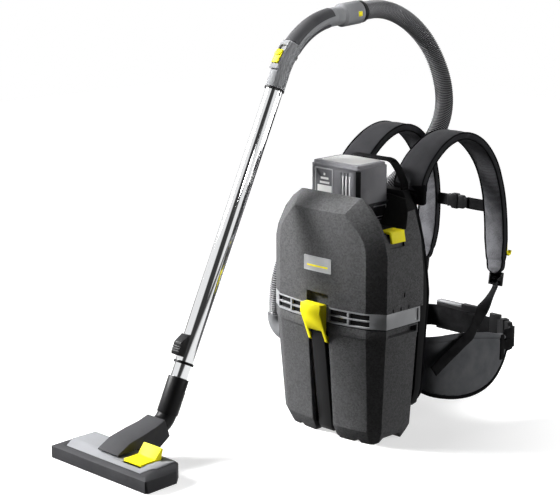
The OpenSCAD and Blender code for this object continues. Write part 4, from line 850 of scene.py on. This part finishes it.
# Back cushion: foam under spacer cloth, quilted in two long and three short seams
CUSHION = [(110, 66), (120, 76), (129, 104), (137, 230), (142, 290), (141, 322), (128, 404),
           (105, 482), (90, 508)]
outline = [at(x, 0, z) for x, z in CUSHION] + [at(-x, 0, z) for x, z in reversed(CUSHION)]
outline = [Vector((p.x, 0, p.z)) for p in outline]
cushion_middle = sum(outline, Vector()) / len(outline)
rings = []
for y, grow in ((92.6, 0.985), (94, 1.0), (103, 1.0), (109.5, 0.985), (111.5, 0.955)):
    rings.append([Vector((cushion_middle.x + (p.x - cushion_middle.x) * grow, at(0, y, 0).y,
                          cushion_middle.z + (p.z - cushion_middle.z) * grow)) for p in outline])
border_y = at(0, 97, 0).y                  # the border is sewn down in front of this
cushion = fill_pad(skin("back_cushion_pad", rings), 0.006, 0.006, lambda p: p.y < border_y)
LONG_SEAM, SHORT_SEAMS, SEAM_MM = 34, (170, 280, 390), 3.5
for v in cushion.data.vertices:
    if v.co.y > at(0, 101, 0).y:
        x, z = abs(v.co.x - ZERO.x) * 1000, v.co.z * 1000
        dent = max([math.exp(-((x - LONG_SEAM) / SEAM_MM) ** 2)]
                   + [math.exp(-((z - h) / SEAM_MM) ** 2) * (x > LONG_SEAM)
                      for h in SHORT_SEAMS])
        v.co.y -= 0.0045 * dent
cushion.data.update()
piece(cushion, SPACER, "machine", "back_cushion")
border = through([Vector((p.x, border_y, p.z)) for p in outline + outline[:1]], 6)
piece(skin("cushion_piping", cord_rings(border, BACKWARDS, 0.0045, 0.0022, 8, -0.0005)),
      BINDING, "machine")

# Belt webbing: the long end with the lock and socket, the short end with the plug
BELT = [at(-140, 362, 148), at(-137, 388, 148), at(-124, 410, 148), at(-106, 423, 148),
        at(-80, 423, 148), at(-40, 423.4, 147.6), at(10, 423.4, 147.6), at(56, 423, 148)]
BELT_SHORT = [at(140, 362, 148), at(142, 376, 148), at(142, 384, 148), at(138, 396, 148)]
piece(skin("belt_webbing_long", tape_rings(through(BELT, 5), UPRIGHT, BELT_MM)), WEBBING,
      "machine", "belt_webbing")
piece(skin("belt_webbing_short", tape_rings(through(BELT_SHORT, 3), UPRIGHT, BELT_MM)), WEBBING,
      "machine")


# ---------------------------------------------------------------- small moulded details
def cube(name, size, middle):
    """A cube added at its size and place, in machine millimetres."""
    obj = start_from(bpy.ops.mesh.primitive_cube_add, name, size=1, location=at(*middle),
                     scale=[s / 1000 for s in size])
    settle(obj)
    return obj


def block(name, size, middle, edge_mm=1.0, segments=2):
    """A cube with its edges rounded, or left as they are for edge_mm = 0."""
    obj = cube(name, size, middle)
    if edge_mm:
        modifier(obj, "BEVEL", width=edge_mm / 1000, segments=segments, limit_method="ANGLE",
                 angle_limit=math.radians(30))
        settle(obj)
    smooth(obj, 35)
    return obj


def carry(obj, degrees, axis, place):
    """Turns a piece, drawn at the machine's middle, round an axis and carries it to its place."""
    turn = Matrix.Rotation(math.radians(degrees), 3, axis)
    for v in obj.data.vertices:
        v.co = turn @ (v.co - ZERO) + place


def pick(obj, kind, wanted):
    """Edit mode, with just the wanted edges or faces selected."""
    only(obj)
    bpy.ops.object.mode_set(mode="EDIT")
    bpy.ops.mesh.select_mode(type=kind)
    bpy.ops.mesh.select_all(action="DESELECT")
    mesh = bmesh.from_edit_mesh(obj.data)
    mesh.normal_update()
    for part in (mesh.edges if kind == "EDGE" else mesh.faces):
        if wanted(part):
            part.select_set(True)
    bmesh.update_edit_mesh(obj.data)


def laid_on(obj, ground, lift_mm):
    """Lets a flat piece, drawn upright at y = 0, follow the bowed front of another one."""
    tree = BVHTree.FromObject(ground, bpy.context.evaluated_depsgraph_get())
    for v in obj.data.vertices:
        hit = tree.ray_cast(Vector((v.co.x, ZERO.y - 0.3, v.co.z)), BACKWARDS)[0]
        v.co.y = (hit.y if hit else ZERO.y) + (v.co.y - ZERO.y) - lift_mm / 1000
    obj.data.update()


def tray(name, size, middle, rim_mm, sunk_mm, corner_mm, cuts=0):
    """An upright plate facing the front, with rounded corners and a field sunk inside its rim."""
    obj = cube(name, size, middle)
    pick(obj, "EDGE", lambda e: abs(e.verts[0].co.y - e.verts[1].co.y) > 1e-6)
    bpy.ops.mesh.bevel(offset=corner_mm / 1000, segments=4)
    if cuts:
        # slices that let the plate bend with the ground it lies on
        low, high = middle[0] - size[0] / 2, middle[0] + size[0] / 2
        for i in range(1, cuts):
            bpy.ops.mesh.select_all(action="SELECT")
            bpy.ops.mesh.bisect(plane_co=at(low + (high - low) * i / cuts, 0, 0),
                                plane_no=(1, 0, 0))
    pick(obj, "FACE", lambda f: f.normal.y < -0.9)
    bpy.ops.mesh.inset(thickness=rim_mm / 1000, depth=0)
    bpy.ops.mesh.inset(thickness=0.0004, depth=-sunk_mm / 1000)
    bpy.ops.object.mode_set(mode="OBJECT")
    return obj


# The valley behind the battery gets a near-black copy of the foam: painted shade where the valley
# lies in shadow
head = bpy.data.objects["head_foam"]
second_finish(head, VALLEY_PAINTED_SHADE_FOAM, [
    p.index for p in head.data.polygons
    if p.center.z > 0.425 and at(0, -37, 0).y < p.center.y < at(0, 67.5, 0).y
    and abs(p.normal.x) < 0.9 and p.center.z < 0.52
    and not (p.normal.y < -0.3 and p.center.y < at(0, -30, 0).y)
    and (p.normal.y < -0.5 or p.normal.z > 0.6)])

# Padded yokes that close the cushion behind the straps' roots, and the keepers at the wings' ends
for side in (-1, 1):
    yoke = block("strap_yoke_%d" % (side > 0), (84, 15, 44), (side * 84, 104, 506), 7, 4)
    piece(yoke, BINDING, "machine")
    keeper = block("wing_keeper_%d" % (side > 0), (8, 42, 19), (side * 147, 365, 141), 2, 3)
    piece(keeper, WEBBING, "machine")
    band = block("wing_keeper_band_%d" % (side > 0), (4, 13, 56), (side * 150, 344, 139), 1)
    piece(band, WEBBING, "machine")

# Bare plate in the middle of the front, with a sunk field and a yellow line
plate = tray("front_plate", (76, 1.6, 31), (0, -0.8, 372), 1.6, 0.5, 1.6, 10)
laid_on(plate, head, -0.4)
piece(plate, SILVER, "machine")
second_finish(plate, LABEL, [p.index for p in plate.data.polygons if p.normal.y < -0.9
                             and abs(p.center.x - ZERO.x) < 0.0355
                             and abs(p.center.z - 0.372) < 0.0135])
line = tray("front_plate_line", (58, 0.8, 3.6), (0, -0.4, 368), 0.3, 0.1, 0.5, 8)
laid_on(line, head, 0.2)
piece(line, YELLOW, "machine")

# Battery: a black strip let into the corner, which is cut off for it
cutter = block("corner_cutter", (30, 20, 126), (0, 4.5, 502), 0)
strip = block("battery_corner_strip", (10.4, 1.4, 118), (0, -5.6, 505), 0.5)
for obj in (cutter, strip):
    carry(obj, -135, "Z", at(66.5, -35, 0))
piece(strip, BLACK, "battery")
case = bpy.data.objects["battery_moulded"]
only(case)
modifier(case, "BOOLEAN", operation="DIFFERENCE", object=cutter, solver="EXACT")
settle(case)
bpy.data.objects.remove(cutter)

# Battery: window with bars and ribs at the front, film on top, catch frame at the side
window = tray("battery_window", (50, 1.4, 56), (-28.5, -35.3, 534), 2.6, 0.9, 2.0)
piece(window, BATTERY_RIM, "battery")
second_finish(window, WINDOW, [p.index for p in window.data.polygons
                               if p.normal.y < -0.9 and p.center.y > at(0, -35.6, 0).y])
for i, (x, z, w, h) in enumerate(((-27.5, 549, 5, 5), (-27, 540.5, 22, 4.6),
                                  (-27, 531.6, 27, 4.6), (-27, 519, 40, 14))):
    piece(block("battery_display_%d" % i, (w, 0.8, h), (x, -35.3, z), 0.3, 1), PRINT, "battery")
for i, x in enumerate((24, 33.5, 43)):
    piece(block("battery_rib_%d" % i, (4.6, 1.6, 44), (x, -35.2, 530), 0.6), BATTERY_RIM,
          "battery")
film = block("battery_film", (104, 78, 0.5), (-1, 16, 575.3), 0)
pick(film, "EDGE", lambda e: abs(e.verts[0].co.z - e.verts[1].co.z) > 1e-6)
bpy.ops.mesh.bevel(offset=0.012, segments=5)
bpy.ops.object.mode_set(mode="OBJECT")
piece(film, FILM, "battery")

catch = block("battery_catch_frame", (1.6, 46, 24), (67.4, 26, 476), 0)
pick(catch, "FACE", lambda f: abs(f.normal.x) > 0.9)
bpy.ops.mesh.inset(thickness=0.0016, depth=0)
bpy.ops.mesh.bridge_edge_loops()
bpy.ops.object.mode_set(mode="OBJECT")
piece(catch, BATTERY_RIM, "battery")


# ---------------------------------------------------------------- handle
ARC_MIDDLE, ARC_RADIUS, ARC_START = Vector((-146, 124.346, 662.191)), 190.0, 154.0
DEGREE_MM = 3.316                          # a degree's length along the handle's curve
HANDLE_R, SOCKET_LEN = 20.0, 15.0


def on_arc(along, around, radius):
    """Place on the handle: along the curve in degrees, below 0 down the straight part, and
    around it in degrees from its outer side toward +X."""
    bend = math.radians(ARC_START - max(along, 0))
    out = Vector((0, math.cos(bend), math.sin(bend)))
    middle = ARC_MIDDLE + ARC_RADIUS * out
    if along < 0:
        middle += DEGREE_MM * along * Vector((0, out.z, -out.y))
    a = math.radians(around)
    return middle + radius * (math.cos(a) * out + math.sin(a) * ACROSS)


def hand_pad(name, material, along, around, radius, rise, corner=0.35):
    """A soft or hard pad on the handle's round surface, from and to in degrees along and around
    it: a grid with rounded corners that dives into the wall at its border."""
    obj = start_from(bpy.ops.mesh.primitive_grid_add, name, x_subdivisions=36,
                     y_subdivisions=24, size=2)
    long_mm = (along[1] - along[0]) * DEGREE_MM
    wide_mm = math.radians(around[1] - around[0]) * radius
    soft = corner * min(long_mm, wide_mm)
    for v in obj.data.vertices:
        x, y = v.co.x, v.co.y
        dx = max(abs(x) * long_mm / 2 - (long_mm / 2 - soft), 0)
        dy = max(abs(y) * wide_mm / 2 - (wide_mm / 2 - soft), 0)
        far = math.hypot(dx, dy)
        if far > soft:
            # corners are drawn in to an arc
            x = math.copysign((long_mm / 2 - soft + dx * soft / far) / (long_mm / 2), x)
            y = math.copysign((wide_mm / 2 - soft + dy * soft / far) / (wide_mm / 2), y)
            far = soft
        edge = min(max((soft - far) / 2.5, 0), 1) if (dx or dy) else 1
        edge = min(edge, (1 - abs(x)) * long_mm / 5, (1 - abs(y)) * wide_mm / 5, 1)
        height = -0.5 + (rise + 0.5) * math.sin(max(edge, 0) * math.pi / 2)
        place = on_arc(along[0] + (x + 1) / 2 * (along[1] - along[0]),
                       around[0] + (y + 1) / 2 * (around[1] - around[0]), radius + height)
        v.co = at(*place)
    only(obj)
    bpy.ops.object.mode_set(mode="EDIT")
    bpy.ops.mesh.select_all(action="SELECT")
    bpy.ops.mesh.normals_make_consistent(inside=False)
    bpy.ops.object.mode_set(mode="OBJECT")
    modifier(obj, "SOLIDIFY", thickness=0.0006, offset=-1)
    settle(obj)
    smooth(obj, 60)
    piece(obj, material, "handle")


hand_pad("grip_pad_inner", GRIP, (17, 55), (112, 248), HANDLE_R, 0.9)
hand_pad("handle_panel", GREY, (-9, 0.5), (-28, 38), HANDLE_R + 0.2, 0.5, 0.12)


def set_on_arc(name, size, along, radius, edge_mm, material, body):
    """A small block standing on the curve; size is across, along and up."""
    obj = block(name, size, (0, 0, 0), edge_mm)
    carry(obj, ARC_START - along - 90, "X", at(*on_arc(along, 0, radius)))
    piece(obj, material, body)


set_on_arc("handle_stop", (9, 9, 8), 15.5, -HANDLE_R - 1.5, 1.5, BLACK, "handle")
set_on_arc("slider_thumb", (14, 7, 4.4), 9.6, 27.6, 1.4, YELLOW, "slider")

# Dark rim round the wand's socket, square to the wand
foot = on_arc(-(SOCKET_LEN + 20) / DEGREE_MM, 0, 0)
rim = start_from(bpy.ops.mesh.primitive_cylinder_add, "socket_rim", vertices=64, radius=0.0212,
                 depth=0.004, location=at(*foot), rotation=(math.radians(-26), 0, 0))
pick(rim, "FACE", lambda f: abs(f.normal.z) > 0.9)
bpy.ops.mesh.inset(thickness=0.0019, depth=0)
bpy.ops.mesh.bridge_edge_loops()
settle(rim)
smooth(rim, 40)
piece(rim, BLACK, "handle")


# ---------------------------------------------------------------- light and floor
def paper_floor():
    """White paper. Where rays from the camera or from a gloss meet it, it is as white as the
    air behind it, so that it keeps only the object's own shadow. Near the middle, where the
    shadow falls, it glows less; the distances are in metres."""
    mat, tree, shader, place = surface("paper_backdrop_white", "#FFFFFF", 1.0,
                                       Specular_IOR_Level=0.0)
    far = add(tree, "VectorMath", {0: place}, operation="LENGTH").outputs["Value"]
    seen = add(tree, "LightPath").outputs
    grey = add(tree, "MapRange", {"Value": seen["Is Camera Ray"], "To Min": 0.06, "To Max": 0.55})
    feed(shader, {"Base Color": grey.outputs["Result"]})
    white = add(tree, "MapRange", {"Value": far, "From Min": 0.3, "From Max": 0.72,
                                   "To Min": 0.6, "To Max": 1.0}).outputs["Result"]
    mirrored_white = add(tree, "MapRange", {"Value": far, "From Min": 0.9, "From Max": 1.8,
                                            "To Min": 0.95, "To Max": 0.05}).outputs["Result"]
    direct = add(tree, "Math", {0: seen["Is Camera Ray"], 1: white}, operation="MULTIPLY")
    gloss = add(tree, "Math", {0: seen["Is Glossy Ray"], 1: mirrored_white},
                operation="MULTIPLY")
    level = add(tree, "Math", {0: direct.outputs[0], 1: gloss.outputs[0]}, operation="ADD")
    glow = add(tree, "Emission", {"Color": (1, 1, 1, 1), "Strength": level.outputs[0]})
    both = add(tree, "AddShader", {0: shader.outputs["BSDF"], 1: glow.outputs["Emission"]})
    feed(tree.nodes["Material Output"], {"Surface": both.outputs["Shader"]})
    return mat


floor = start_from(bpy.ops.mesh.primitive_plane_add, "floor_paper", size=9)
floor.data.materials.append(paper_floor())

# The air of the studio: white to the camera. Gloss sees white softboxes on both sides and the
# dark of the room between them, which gives chromed tubes their dark line.
world = bpy.data.worlds.new("studio_air")
bpy.context.scene.world = world
world.use_nodes = True
tree = world.node_tree
seen = add(tree, "LightPath").outputs
ray = add(tree, "SeparateXYZ", {0: add(tree, "TexCoord").outputs["Generated"]}).outputs
flat_ray = add(tree, "CombineXYZ", {0: ray["X"], 1: ray["Y"]}).outputs[0]
level_ray = add(tree, "VectorMath", {0: flat_ray}, operation="NORMALIZE").outputs[0]
room_side = add(tree, "VectorMath", {0: level_ray, 1: (0.7071, -0.7071, 0)},
                operation="DOT_PRODUCT").outputs["Value"]
room = add(tree, "MapRange", {"Value": room_side, "From Min": 0.84, "From Max": 0.90,
                              "To Min": 1.0, "To Max": 0.05}).outputs["Result"]
straight = add(tree, "Math", {0: seen["Is Camera Ray"], 1: seen["Is Transmission Ray"]},
               operation="MAXIMUM").outputs[0]
gloss = add(tree, "Math", {0: seen["Is Glossy Ray"], 1: room}, operation="MULTIPLY").outputs[0]
level = add(tree, "Math", {0: straight, 1: gloss}, operation="MAXIMUM").outputs[0]
faint = 0.045                              # light from all sides, which lifts the shadows
level = add(tree, "Math", {0: level, 1: faint}, operation="MAXIMUM").outputs[0]
feed(tree.nodes["Background"], {"Color": (1, 1, 1, 1), "Strength": level})


def softbox(name, place, aim, size, watts, spread=180):
    """A square lamp that faces its aim; a small spread keeps its light together."""
    lamp = bpy.data.lights.new(name, "AREA")
    lamp.shape, lamp.size, lamp.energy, lamp.spread = "SQUARE", size, watts, math.radians(spread)
    obj = new_object(name, lamp)
    obj.location = place
    obj.rotation_euler = (Vector(aim) - Vector(place)).to_track_quat("-Z", "Y").to_euler()


# The left one lights the front, low and high add to the floor tool and the handle, the right one
# fills the back and top lifts what faces up
softbox("softbox_left", (-1.75, -1.05, 1.75), (0.03, -0.05, 0.52), 1.3, 23, 30)
softbox("softbox_low", (-1.5, -1.7, 1.3), (-0.1, -0.5, 0.0), 0.6, 1.2, 22)
softbox("softbox_high", (1.5, -0.9, 1.7), (-0.06, 0.12, 0.84), 0.5, 0.75, 22)
softbox("softbox_right", (2.0, 1.5, 0.6), (0.05, 0.05, 0.1), 1.1, 14, 110)
softbox("softbox_top", (-0.7, 0.4, 2.6), (0, 0, 0.4), 1.4, 8)
